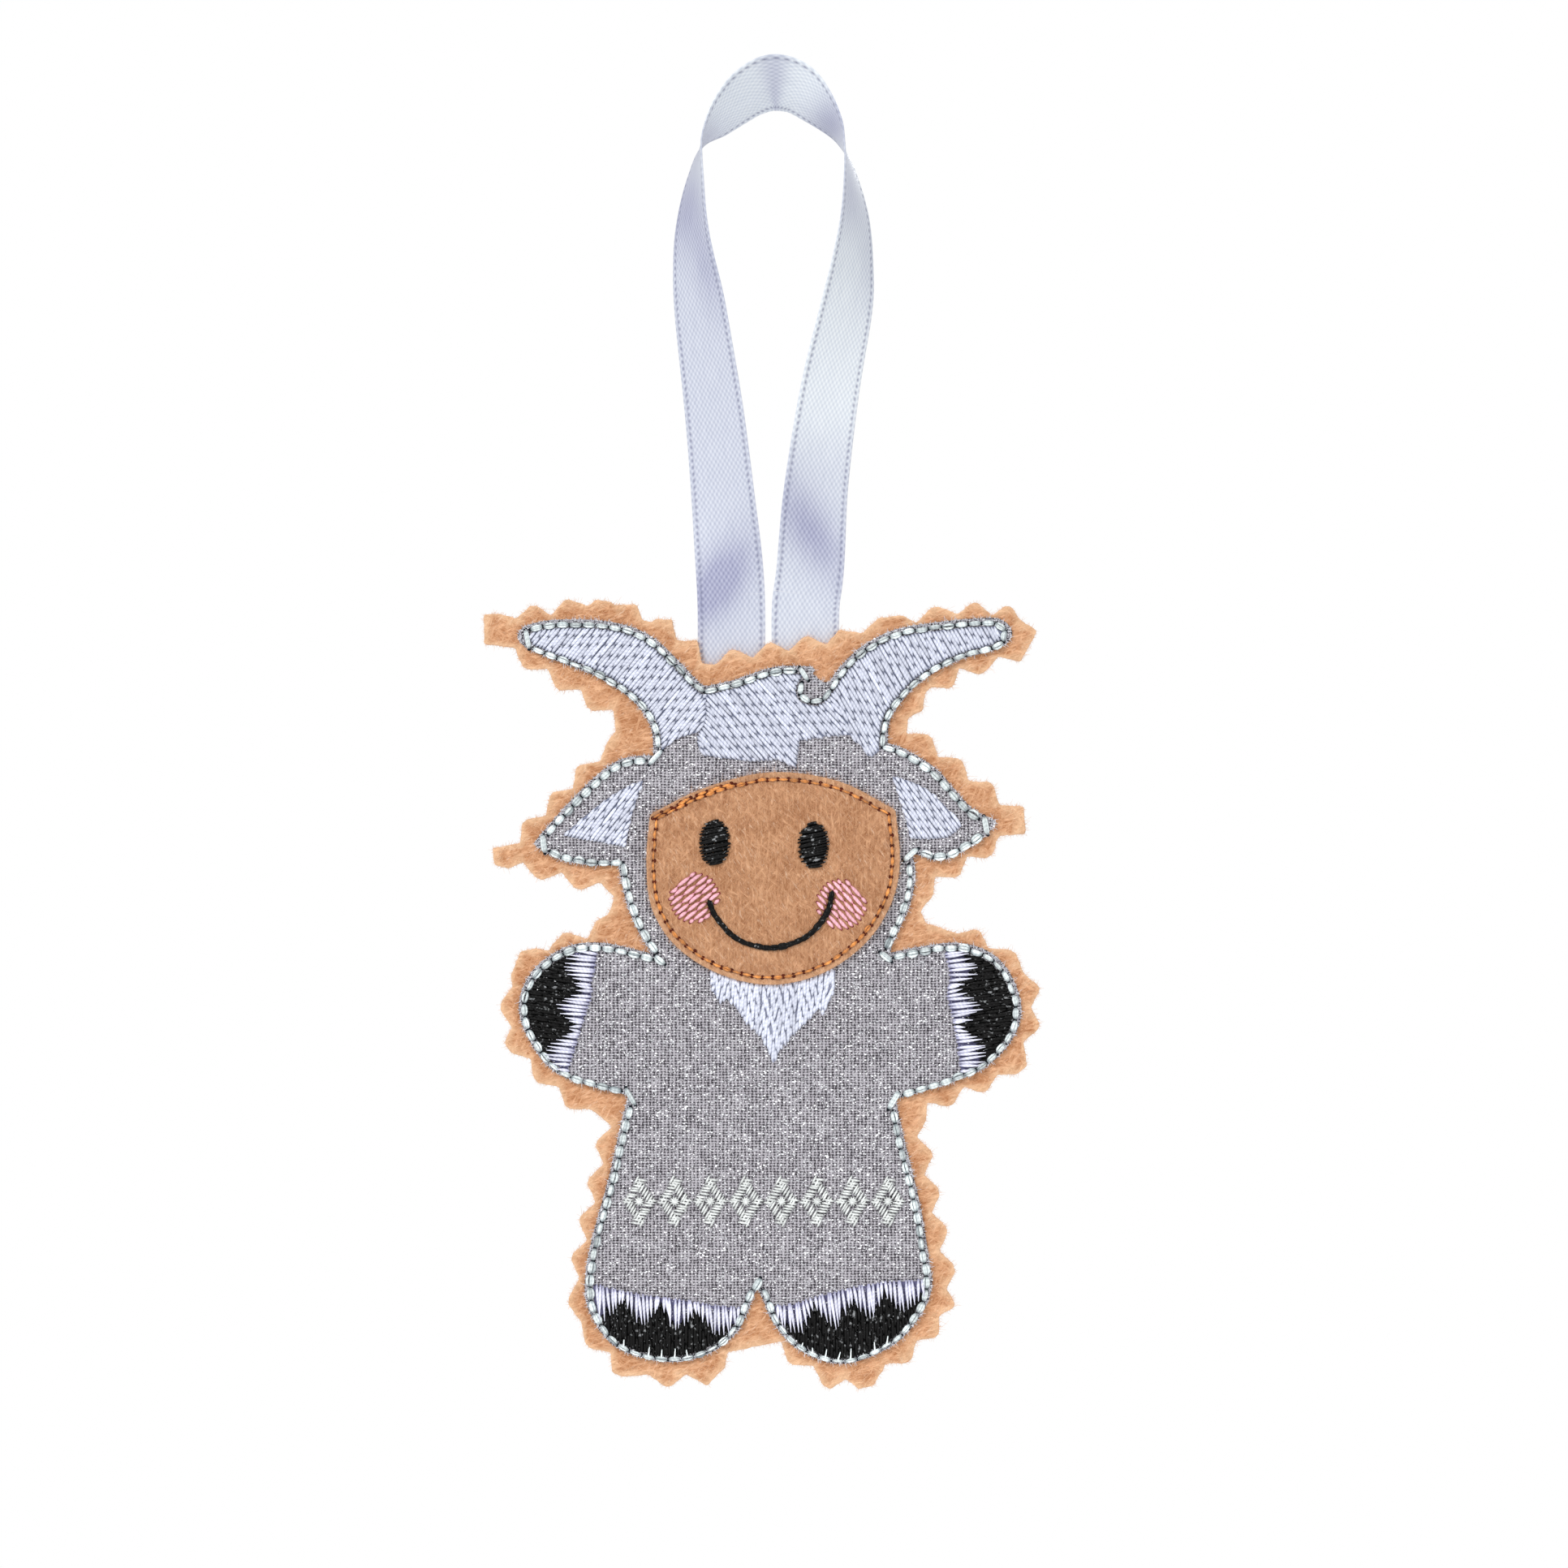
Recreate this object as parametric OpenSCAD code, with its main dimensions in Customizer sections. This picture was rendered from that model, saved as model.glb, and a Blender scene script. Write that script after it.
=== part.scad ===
// Flat hanging ornament: an embroidered goat on two layers of felt, with a loop of satin ribbon.
// Millimetres. X runs to the viewer's right, Y away from the viewer and Z up.
// The origin is where the loop hangs: level with the lowest inside edge of the ribbon's crown.

/* [Ribbon] */
// Width of the satin ribbon, with its picot edges
ribbon_w = 10.3; // [9:0.1:11]
// Thickness of the ribbon
ribbon_t = 0.3; // [0.2:0.05:0.4]
// Length of ribbon sewn in between the felts
tail_len = 15; // [8:1:18]

/* [Felt and cloth] */
// Thickness of each felt layer
felt_t = 1.2; // [1:0.1:2]
// Thickness of the stabiliser between the felts
stabiliser_t = 0.2; // [0.1:0.05:0.4]
// Thickness of the glitter cotton
cotton_t = 0.3; // [0.2:0.05:0.5]
// Cotton left outside the outline seam
cotton_margin = 0.8; // [0.6:0.1:1.3]
// Thickness of the face patch
face_t = 0.9; // [0.6:0.1:1.5]
// Felt left outside the face seam
face_margin = 1.1; // [0.8:0.1:1.4]

/* [Pinked edge] */
// Depth of a tooth of the pinking shears
tooth_depth = 1.8; // [1:0.1:2.2]
// Width of a tooth's flat tip, as a share of the tooth
tooth_flat = 0.16; // [0.05:0.01:0.3]

/* [Embroidery] */
// Height of the filled embroidery above the cloth
thread_t = 0.4; // [0.2:0.05:0.6]
// Length of one stitch of the outline seam
seam_stitch = 2; // [1.6:0.05:3]
// Width of the triple thread of the outline seam
seam_w = 0.95; // [0.6:0.05:1.2]
// Length of one stitch of the face seam
face_stitch = 1.6; // [1.2:0.1:2.5]
// Width of the thread of the face seam
face_seam_w = 0.5; // [0.3:0.05:0.7]
// Gap between two stitches of one seam
stitch_gap = 0.3; // [0.2:0.05:0.5]
// Height of an eye
eye_h = 6.8; // [5:0.1:8]
// Width of an eye
eye_w = 4; // [3:0.1:5]
// Radius of a cheek
cheek_r = 3.7; // [3:0.1:4.2]
// Radius of the smile
smile_r = 9.5; // [8:0.1:10]
// Width of the smile's line
smile_w = 1.1; // [0.6:0.1:1.5]
// Number of diamonds across the belly
diamonds = 8; // [4:1:9]
// Height of a diamond
diamond_h = 7.6; // [5:0.1:8]
// Width of a diamond's satin line
diamond_line = 1.1; // [0.8:0.1:1.4]

/* [Joints] */
// Height at which the ribbon twists, below the crown
twist_z = -8; // [-9:0.5:-7]
// Height at which the ribbon folds, above the felt
fold_z = -77.9; // [-78:0.1:-77]
// Clearance between two parts of the ribbon
joint_gap = 0.6; // [0.4:0.05:0.8]

/* [Hidden] */

// Depths of the layers, front to back. Y = 0 is the plane where the two felts meet.
front_y = -felt_t;
back_y = felt_t;
cloth_y = front_y - cotton_t;
face_y = cloth_y - face_t;
seam_t = 0.45;
groove_t = 0.4;
groove_w = 1.4;
// Height of the felt's edge where the ribbon goes in
felt_top_z = -82;
// The diamonds: middle and width of their row
belly_x = -1.1;
belly_z = -166.2;
belly_w = 43.2;
// Points made along an outline and along the ribbon for each given point
curve_steps = 5;
ribbon_steps = 3;

camel = [0.88, 0.67, 0.5];
tan = [0.8, 0.6, 0.44];
silver_grey = [0.65, 0.63, 0.67];
satin_white = [0.87, 0.88, 0.96];
thread_white = [0.9, 0.91, 0.98];
thread_silver = [0.8, 0.84, 0.83];
thread_black = [0.1, 0.1, 0.1];
thread_pink = [0.93, 0.6, 0.68];
thread_orange = [0.75, 0.4, 0.15];

// Every outline is a list of [x, z, corner]: the curve is smooth through a point, and turns
// sharply at a point whose third number is 1.

// The goat's outline seam, round from the left side of the neck
figure = [
    [-16, -130.1, 1], [-18.9, -126.2], [-21, -121.6], [-22.1, -116.9], [-22.5, -114.8, 1],
    [-27.8, -114.7], [-32.1, -113.8], [-35.2, -112, 1], [-30.9, -107], [-26.2, -102.3],
    [-22.8, -99.9], [-19.8, -99.3], [-17, -99.3, 1],
    [-17.5, -94.3], [-20.4, -90], [-25.9, -86.3], [-32.1, -83.8], [-36.4, -82], [-37.7, -80.5],
    [-36.4, -79.3], [-32.1, -78.6], [-24.7, -78.9], [-19.1, -80.7], [-14.8, -84.4],
    [-11.7, -87.7], [-10.1, -88.8, 1],
    [-5.6, -87.8], [0.6, -85.8], [5.9, -85.7, 1],
    [4.3, -88.1], [4.9, -89.9], [7.4, -90.4], [9.1, -88.5], [10.9, -85.8], [14.2, -82.6],
    [19.1, -80.1], [25.3, -79], [31.5, -78.4], [34.6, -78.5], [35.9, -80.1], [34.3, -81.9],
    [28.4, -83.6], [22.8, -86.7], [19.1, -90.4], [17.3, -93.5], [16.9, -97.2, 1],
    [19.8, -98.1], [24.4, -100.9], [27.2, -104], [30.2, -107.2], [33.5, -108.9, 1],
    [30.9, -111.5], [25.9, -114], [22.8, -113.2], [20.6, -113.1, 1],
    [21.2, -116.7], [20.4, -121.2], [18.5, -125.6], [16.7, -129.6, 1],
    [22.2, -128.4], [28.4, -127.7], [33.3, -129.3], [36.2, -133], [37.3, -137.7],
    [35.8, -141.9], [32.1, -145.6], [27.2, -147.8], [18.1, -150.5, 1],
    [19.5, -157], [21.9, -166.9], [23.2, -174.9], [23.7, -179.3], [22.2, -183.3],
    [18.3, -187.7], [11.1, -190.5], [4.7, -188.5], [1, -184.6], [-0.5, -181.1], [-2.1, -177.8, 1],
    [-3.5, -181.1], [-5.6, -185.8], [-9.9, -189.1], [-15.8, -190.2], [-22.8, -188.3],
    [-26.5, -183.8], [-27.5, -179.3], [-26.5, -172.5], [-23.8, -162.6], [-22, -154.6],
    [-20.7, -149.9, 1],
    [-28.4, -148], [-33.1, -145.7], [-36.4, -141], [-37.5, -136.4], [-35.6, -131.7],
    [-30.9, -128.3], [-25.9, -127.7], [-20.4, -128.8]
];

// The cuts of the pinking shears, round from the tip of the left horn: [x, z, teeth].
// A cut runs straight to the next point, with that many teeth on its outer side.
felt_cuts = [
    [-43.6, -81.5, 0], [-43.6, -77, 0], [-41, -77, 0], [-38.6, -77.6, 1], [-33.3, -77.3, 1],
    [-27.9, -75.8, 0], [-26.6, -74.8, 0], [-24.5, -75.1, 0], [-23.7, -75.6, 0], [-20.4, -75.5, 0],
    [-19.5, -77.9, 0], [-18.2, -78.2, 0], [-17.6, -77.8, 0], [-15, -77.8, 0], [-14.4, -80.8, 0],
    [-13, -81.1, 0], [-11.1, -80.9, 0], [-10.4, -84.5, 0], [-8.3, -84.7, 3], [8.4, -81.6, 0],
    [10.4, -79.3, 0], [13.9, -79.9, 0], [16.3, -77.6, 0], [20.1, -77.2, 0], [22.1, -78.3, 1],
    [28.4, -77, 1], [33.6, -77.2, 1], [38, -77.9, 0], [40.5, -79.6, 0], [37.9, -84.2, 0],
    [34.6, -83.4, 1], [28.6, -85.1, 1], [24.3, -88, 0], [23.4, -89, 0], [23.1, -91.6, 0],
    [20.8, -92.8, 0], [20.7, -95.1, 3], [34.7, -106, 0], [38.5, -106.2, 0], [38.7, -110.4, 0],
    [34.7, -110.7, 2], [24.9, -116.9, 0], [24.7, -119.6, 0], [22.7, -122.2, 0], [23.7, -124, 0],
    [28.4, -125.6, 1], [33.1, -127.8, 1], [38.5, -131.7, 1], [39.5, -136.7, 1], [38.4, -141.9, 0],
    [38.9, -145.6, 0], [37.4, -146.9, 0], [34.4, -147, 1], [29.3, -148.8, 1], [23.8, -151.2, 0],
    [23.6, -154, 0],
    [22.1, -156.4, 4], [26.7, -179.6, 1], [25.6, -183.6, 1], [22.2, -187.3, 1],
    [17.6, -190.9, 0], [15.6, -194.2, 0], [13.3, -194.8, 0], [11.4, -193.2, 0], [9, -194.8, 0],
    [7.8, -194.1, 0], [6.5, -191.2, 1], [1.6, -187.5, 0], [-6.6, -189.2, 0], [-6.9, -191.4, 0],
    [-9.7, -194.2, 0], [-12.9, -192.5, 1], [-18.5, -192.6, 0], [-22.6, -192.9, 0],
    [-24.1, -192.3, 0], [-24.4, -189.2, 1], [-28.8, -184.6, 1], [-29.1, -178, 4],
    [-24.1, -154.9, 0],
    [-27.4, -152.2, 1], [-32.3, -148.8, 1], [-36.5, -144.5, 0], [-39.4, -143.7, 0],
    [-40.5, -142.1, 0], [-39.4, -139.8, 1], [-39.2, -133.5, 0], [-39.5, -131.8, 0],
    [-38, -128.2, 0], [-35.8, -127.8, 0], [-33.8, -128.1, 1], [-28, -126.4, 0],
    [-26.5, -123.6, 0], [-24.7, -122.7, 0], [-23.8, -120, 0], [-25.9, -117.8, 2],
    [-37.7, -114.7, 0], [-39.9, -115.6, 0], [-42, -115.1, 0], [-42.3, -112.6, 0],
    [-38.2, -111.8, 3], [-26, -99.4, 0], [-24.8, -96.3, 0], [-23.5, -94.7, 0], [-24, -91.5, 3],
    [-38.9, -82.1, 0]
];

// The seam round the face patch
face_line = [
    [-17.3, -108.1, 1], [-9.9, -104.5], [0, -102.1], [9.9, -103.4], [17.9, -107.4, 1],
    [18.5, -114.4], [17.4, -120.2], [13.7, -126.1], [7.5, -130.5], [0, -132.2], [-7.5, -130.6],
    [-13.7, -126.6], [-17.1, -121.1], [-17.8, -114.4]
];

ear_left = [
    [-19.4, -102.3, 1], [-21, -107], [-22.1, -112.3, 1], [-26.5, -111.5], [-31.5, -110.6, 1],
    [-26.5, -106.3], [-22.5, -103.6]
];
ear_right = [
    [18.5, -101.7, 1], [20.1, -106.8], [21.2, -111.1, 1], [26.5, -110.9], [29, -109.1, 1],
    [24.9, -104.6], [21.6, -102.6]
];
forelock_line = [
    [-10, -89, 1], [-5.6, -87.8], [0.6, -85.8], [5.9, -85.7, 1], [4.3, -88.1], [4.9, -89.9],
    [7.4, -90.4], [9.5, -88.6, 1], [12, -95.3, 1], [8, -95.6], [4.3, -96.2, 1], [3.7, -100.5, 1],
    [1, -99.1], [-2.5, -99.3], [-6.8, -98.9], [-10.4, -98.3, 1], [-11.1, -96.2], [-9.9, -92.2]
];
beard_line = [
    [-9.3, -131.1, 1], [-8.8, -134.2], [-7.5, -135.8, 1], [-6.3, -135.2, 1], [-4, -138.6],
    [-1.5, -141], [0.4, -145.2, 1], [2, -142.2], [4.3, -139.9], [7.4, -136.8, 1],
    [7.9, -137.8, 1], [9.3, -134.8], [9.8, -131.1, 1]
];

// The cotton left in the notch between the forelock and the right horn
notch_line = [
    [5.5, -85.6], [6.4, -86.1], [7.8, -87.3], [9, -87.3], [10, -88.6], [8, -91], [4.5, -90.5]
];

// Where each horn ends on the head, drawn inwards from its upper edge
horn_left_root = [[-9.9, -88.5], [-9.9, -92.2], [-10.9, -94.7], [-14.4, -96], [-17.6, -98.6]];
horn_right_root = [[9.5, -88.6], [12, -95.3], [13.6, -96.9], [15.1, -98.6], [17.4, -96.9]];

// Where each fur cuff meets the cotton, and where the hoof meets the cuff
cuff_hand_left_line = [
    [-26.4, -126.4], [-26.8, -130.5], [-27.4, -133], [-27.3, -134.8], [-28.3, -137.9],
    [-29.8, -142.8], [-31.4, -148]
];
hoof_hand_left_line = [
    [-28.4, -126.4], [-30.7, -130.5], [-28.8, -133.8], [-31.9, -136.7], [-29.6, -139.9],
    [-33.1, -142.8], [-34.8, -147]
];
cuff_hand_right_line = [
    [26.1, -126.4], [27.3, -131.7], [26.9, -134.8], [27.8, -138.5], [28.6, -143.5], [29.2, -148.8]
];
hoof_hand_right_line = [
    [27.4, -126.4], [30.7, -131.1], [28.1, -133.8], [31.5, -136.7], [28.8, -139.6],
    [32.1, -142.8], [31, -148.2]
];
cuff_foot_left_line = [
    [-29, -178.5], [-24.1, -179.6], [-19.8, -180.5], [-14.8, -181.1], [-8.6, -182.1],
    [-2, -182.7]
];
hoof_foot_left_line = [
    [-29, -180.6], [-25.8, -183.7], [-22.5, -181.1], [-19.8, -184.4], [-16.7, -182],
    [-14.4, -185.2], [-11.4, -182.7], [-8.6, -185.8], [-6.4, -185.2], [-4.4, -183.9], [-2, -182.9]
];
cuff_foot_right_line = [
    [-1, -182.1], [3.1, -182], [7.4, -180.7], [11.7, -179.6], [17.3, -178.6], [25, -178.2]
];
hoof_foot_right_line = [
    [-1, -182.6], [4.3, -185.6], [6.5, -182.1], [9.6, -184.8], [12.3, -181.4], [15.2, -183.3],
    [17.5, -180.1], [20, -182.2], [25, -178.8]
];

// The middle line of the ribbon and its turn about that line: [x, z, degrees].
// It goes from the left tail up, over the crown and down to the right tail.
ribbon_route = [
    [-6, -84, 0], [-6, -76, 0], [-6.3, -70, 5], [-7.2, -60, 20], [-8.6, -46.5, 30],
    [-10.7, -31.1, 40], [-11.8, -22.5, 53], [-12, -16.6, 64], [-11.5, -10.6, 76],
    [-10.5, -5.5, 90], [-8, -2.2, 112], [-5.4, 0.6, 126], [-2.8, 2.7, 135], [0.4, 3.9, 141],
    [3.8, 3.1, 136], [6.8, 0.6, 123], [9.5, -2.6, 106], [10.9, -5.4, 93], [12, -9.2, 81],
    [12.8, -16.6, 65], [12.4, -24, 51], [11.5, -30.5, 40], [9, -42.8, 30], [6.9, -57.7, 20],
    [6, -70, 5], [5.3, -76, 0], [5.3, -84, 0]
];
apex = 13;

// ---- curves ----

function wrap(list, i) = list[(i + len(list)) % len(list)];
function is_corner(p) = len(p) == 3 && p[2] == 1;
function flat(p) = [p[0], p[1]];
function unit(v) = v / norm(v);
function total(list, i = 0) = i < len(list) ? list[i] + total(list, i + 1) : 0;

// Slope of a closed outline where it leaves point i, and where it comes in to point i
function slope_out(list, i) =
    is_corner(list[i]) ? flat(wrap(list, i + 1)) - flat(list[i])
    : (flat(wrap(list, i + 1)) - flat(wrap(list, i - 1))) / 2;
function slope_in(list, i) =
    is_corner(list[i]) ? flat(list[i]) - flat(wrap(list, i - 1))
    : (flat(wrap(list, i + 1)) - flat(wrap(list, i - 1))) / 2;

// Cubic from a to b with slopes m and n at its ends
function cubic(a, b, m, n, u) =
    (2 * pow(u, 3) - 3 * pow(u, 2) + 1) * a + (pow(u, 3) - 2 * pow(u, 2) + u) * m
    + (3 * pow(u, 2) - 2 * pow(u, 3)) * b + (pow(u, 3) - pow(u, 2)) * n;

// Smooth closed curve through a list of [x, z, corner]
function smooth(list) = [
    for (i = [0 : len(list) - 1])
        let (next = (i + 1) % len(list))
        for (k = [0 : curve_steps - 1])
            cubic(flat(list[i]), flat(list[next]), slope_out(list, i), slope_in(list, next),
                k / curve_steps)
];

// Smooth open curve through plain points of any dimension
function slope_open(list, i) =
    let (last = len(list) - 1)
    (list[min(i + 1, last)] - list[max(i - 1, 0)]) / (i == 0 || i == last ? 1 : 2);
function smooth_open(list, steps) = concat(
    [
        for (i = [0 : len(list) - 2])
            for (k = [0 : steps - 1])
                cubic(list[i], list[i + 1], slope_open(list, i), slope_open(list, i + 1), k / steps)
    ],
    [list[len(list) - 1]]
);

// The stretch of an outline from one corner to the next, as a list of points
function corners(list) = [for (i = [0 : len(list) - 1]) if (is_corner(list[i])) i];
function run(curve, from, to) = [
    for (i = [from : (to > from ? to : to + len(curve))]) curve[i % len(curve)]
];

// Lengths along a run of points, and the point at a given length
function steps_of(line) = [for (i = [0 : len(line) - 2]) norm(line[i + 1] - line[i])];
function point_at(line, left, i = 0) =
    let (step = norm(line[i + 1] - line[i]))
    left <= step || i == len(line) - 2 ? line[i] + (line[i + 1] - line[i]) * min(left / step, 1)
    : point_at(line, left - step, i + 1);

// ---- flat shapes ----

// A sheet that lies in the X-Z plane, with its back at y and its front at y - t
module layer(y, t) {
    translate([0, y, 0])
        rotate([90, 0, 0])
            linear_extrude(t)
                children();
}

module figure_shape() {
    polygon(smooth(figure));
}

// The figure inside its seam, where the filled embroidery stops
module stitched_shape() {
    difference() {
        offset(delta = -seam_w / 2 - 0.05)
            figure_shape();
        offset(delta = 0.08)
            seam_round(figure, seam_stitch, seam_w);
    }
}

module face_shape() {
    offset(r = face_margin, $fn = 24)
        polygon(smooth(face_line));
}

// One pinked cut from a to b with n teeth on its left, without its last point
function pinked(a, b, n) =
    let (along = b - a, out = [-along[1], along[0]] / norm(along) * tooth_depth)
    concat(
        [a],
        [
            for (k = [0 : 1 : n - 1])
                each concat(
                    k == 0 ? [] : [a + along * k / n],
                    [for (side = [-0.5, 0.5]) a + along * (k + 0.5 + side * tooth_flat) / n + out]
                )
        ]
    );

module felt_shape() {
    polygon([
        for (i = [0 : len(felt_cuts) - 1])
            each pinked(flat(felt_cuts[i]), flat(wrap(felt_cuts, i + 1)), felt_cuts[i][2])
    ]);
}

// The area on the far side of a curved line, closed round the given far corners
module beyond(line, far) {
    polygon(concat(smooth_open(line, curve_steps), far));
}

// Embroidery of the figure beyond a line
module fill_beyond(line, far) {
    intersection() {
        stitched_shape();
        beyond(line, far);
    }
}

module diamond(width, height) {
    polygon([[-width / 2, 0], [0, height / 2], [width / 2, 0], [0, -height / 2]]);
}

module ellipse(width, height) {
    polygon([for (angle = [0 : 10 : 350]) [cos(angle) * width, sin(angle) * height] / 2]);
}

// Part of a ring of the given radius and line width, between two angles
module arc_band(radius, width, from, to) {
    angles = [for (angle = [from : (to - from) / 24 : to]) angle];
    polygon([
        for (side = [-1, 1], i = [0 : len(angles) - 1])
            let (angle = side < 0 ? angles[i] : angles[len(angles) - 1 - i])
            (radius + side * width / 2) * [cos(angle), sin(angle)]
    ]);
}

// ---- stitches ----

// One stitch from a to b: a bar with rounded ends
module stitch(a, b, width) {
    along = unit(b - a);
    turn = atan2(along[1], along[0]);
    inset = along * (stitch_gap + width) / 2;
    polygon([
        for (side = [0, 1], angle = [-90 : 45 : 90])
            (side == 0 ? b - inset : a + inset)
                + width / 2 * [cos(turn + side * 180 + angle), sin(turn + side * 180 + angle)]
    ]);
}

// Stitches of about the given length along a line, end to end
module seam(line, length, width) {
    whole = total(steps_of(line));
    count = max(1, round(whole / length));
    spots = [for (k = [0 : count]) point_at(line, whole * k / count)];
    for (k = [0 : count - 1])
        stitch(spots[k], spots[k + 1], width);
}

// A seam round a closed outline, with a needle hole on each corner
module seam_round(outline, length, width) {
    curve = smooth(outline);
    turns = corners(outline);
    for (k = [0 : len(turns) - 1])
        seam(run(curve, turns[k] * curve_steps, wrap(turns, k + 1) * curve_steps), length, width);
}

// ---- ribbon ----

ribbon_path = smooth_open(ribbon_route, ribbon_steps);
left_path = [for (i = [0 : apex * ribbon_steps]) ribbon_path[i]];
right_path = [for (i = [apex * ribbon_steps : len(ribbon_path) - 1]) ribbon_path[i]];

// The point of a path at height z
function at_height(path, z) = [
    for (i = [0 : len(path) - 2])
        let (a = path[i], b = path[i + 1])
        if ((a[1] - z) * (b[1] - z) <= 0) a + (b - a) * (z - a[1]) / (b[1] - a[1])
][0];

// The part of a leg's path between two heights, in the path's own order
function between(path, first, last) = concat(
    [at_height(path, first)],
    [for (p = path) if (p[1] > min(first, last) && p[1] < max(first, last)) p],
    [at_height(path, last)]
);

// The four corners of the ribbon's section at point i of a path
function ribbon_section(path, i) =
    let (
        last = len(path) - 1,
        along = unit(flat(path[min(i + 1, last)]) - flat(path[max(i - 1, 0)])),
        turn = path[i][2],
        across = [along[1] * cos(turn), -sin(turn), -along[0] * cos(turn)],
        normal = [-along[1] * sin(turn), -cos(turn), along[0] * sin(turn)],
        middle = [path[i][0], ribbon_t / 2, path[i][1]]
    )
    [
        for (corner = [[-1, -1], [1, -1], [1, 1], [-1, 1]])
            middle + across * corner[0] * ribbon_w / 2 + normal * corner[1] * ribbon_t / 2
    ];

// A length of ribbon swept along a path of [x, z, turn]. Both faces are split along the same
// diagonals, so the ribbon keeps its thickness where it twists.
module ribbon(path) {
    last = len(path) - 1;
    polyhedron(
        points = [for (i = [0 : last]) each ribbon_section(path, i)],
        faces = concat(
            [[3, 2, 1, 0]],
            [
                for (i = [0 : last - 1], k = [0 : 3])
                    let (a = 4 * i + k, b = 4 * i + (k + 1) % 4)
                    each k < 2 ? [[a, b, b + 4], [a, b + 4, a + 4]] : [[a, b, a + 4], [b, b + 4, a + 4]]
            ],
            [[for (k = [0 : 3]) 4 * last + k]]
        )
    );
}

// The flat end of the ribbon between the felts, whose middle is at x
module tail_shape(x) {
    top = fold_z - joint_gap / 2;
    bottom = felt_top_z - tail_len;
    translate([x - ribbon_w / 2, bottom])
        square([ribbon_w, top - bottom]);
}

module ribbon_crown() {
    color(satin_white)
        ribbon(concat(
            [at_height(left_path, twist_z)],
            [for (p = ribbon_path) if (p[1] > twist_z) p],
            [at_height(right_path, twist_z)]
        ));
}

module ribbon_leg_left() {
    color(satin_white)
        ribbon(between(left_path, fold_z + joint_gap / 2, twist_z - joint_gap));
}

module ribbon_leg_right() {
    color(satin_white)
        ribbon(between(right_path, twist_z - joint_gap, fold_z + joint_gap / 2));
}

module ribbon_tail_left() {
    color(satin_white)
        layer(ribbon_t, ribbon_t)
            tail_shape(left_path[0][0]);
}

module ribbon_tail_right() {
    color(satin_white)
        layer(ribbon_t, ribbon_t)
            tail_shape(right_path[len(right_path) - 1][0]);
}

// ---- layers ----

// The back felt lies flat against the front felt: the ribbon's tails are pressed into it, and the
// seam lies in a groove of its back
module back_felt() {
    color(camel)
        difference() {
            layer(back_y, felt_t)
                felt_shape();
            layer(ribbon_t, ribbon_t + 1)
                tail_shape(left_path[0][0]);
            layer(ribbon_t, ribbon_t + 1)
                tail_shape(right_path[len(right_path) - 1][0]);
            layer(back_y + 1, groove_t + 1) {
                difference() {
                    offset(delta = groove_w / 2)
                        figure_shape();
                    offset(delta = -groove_w / 2)
                        figure_shape();
                }
                offset(delta = 0.1)
                    seam_round(figure, seam_stitch, seam_w);
            }
        }
}

module stabiliser_shape() {
    offset(delta = 0.8)
        figure_shape();
}

module stabiliser() {
    color("white")
        layer(0, stabiliser_t)
            stabiliser_shape();
}

module front_felt() {
    color(camel)
        difference() {
            layer(0, felt_t)
                felt_shape();
            layer(1, stabiliser_t + 1)
                stabiliser_shape();
        }
}

// The cotton is cut close to the seam, closer still under the arms and feet, and straight
// across the narrow notch beside the forelock
module body_fabric_shape() {
    intersection_for(lift = [0, cotton_margin / 2])
        translate([0, lift])
            offset(r = cotton_margin, $fn = 24)
                figure_shape();
    polygon(notch_line);
}

module body_fabric() {
    color(silver_grey)
        layer(front_y, cotton_t)
            body_fabric_shape();
}

module face_felt() {
    color(tan)
        layer(cloth_y, face_t)
            face_shape();
}

// ---- embroidery on the cotton ----

module horn_left_shape() {
    fill_beyond(horn_left_root, [[-45, -98.6], [-45, -70], [-9, -70]]);
}

module horn_right_shape() {
    fill_beyond(horn_right_root, [[45, -96.9], [45, -70], [9.5, -70]]);
}

module horn_left() {
    color(thread_white)
        layer(cloth_y, thread_t)
            horn_left_shape();
}

module horn_right() {
    color(thread_white)
        layer(cloth_y, thread_t)
            horn_right_shape();
}

module forelock() {
    color(thread_white)
        layer(cloth_y, thread_t)
            difference() {
                intersection() {
                    stitched_shape();
                    polygon(smooth(forelock_line));
                }
                horn_left_shape();
                horn_right_shape();
                face_shape();
            }
}

module ear_inner_left() {
    color(thread_white)
        layer(cloth_y, thread_t)
            polygon(smooth(ear_left));
}

module ear_inner_right() {
    color(thread_white)
        layer(cloth_y, thread_t)
            polygon(smooth(ear_right));
}

module beard() {
    color(thread_white)
        layer(cloth_y, thread_t)
            difference() {
                polygon(smooth(beard_line));
                face_shape();
            }
}

// A hoof fills the figure beyond its line
module hoof(hoof_line, far) {
    color(thread_black)
        layer(cloth_y, thread_t)
            fill_beyond(hoof_line, far);
}

// A fur cuff fills the figure from its own line to the hoof
module cuff(cuff_line, hoof_line, far) {
    color(thread_white)
        layer(cloth_y, thread_t)
            difference() {
                fill_beyond(cuff_line, far);
                beyond(hoof_line, far);
            }
}

hand_left_end = [[-45, -148], [-45, -126.4]];
hand_right_end = [[45, -148.8], [45, -126.4]];
foot_left_end = [[-2, -196], [-29, -196]];
foot_right_end = [[25, -196], [-1, -196]];

module hoof_hand_left() {
    hoof(hoof_hand_left_line, hand_left_end);
}

module hoof_hand_right() {
    hoof(hoof_hand_right_line, hand_right_end);
}

module hoof_foot_left() {
    hoof(hoof_foot_left_line, foot_left_end);
}

module hoof_foot_right() {
    hoof(hoof_foot_right_line, foot_right_end);
}

module cuff_hand_left() {
    cuff(cuff_hand_left_line, hoof_hand_left_line, hand_left_end);
}

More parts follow.
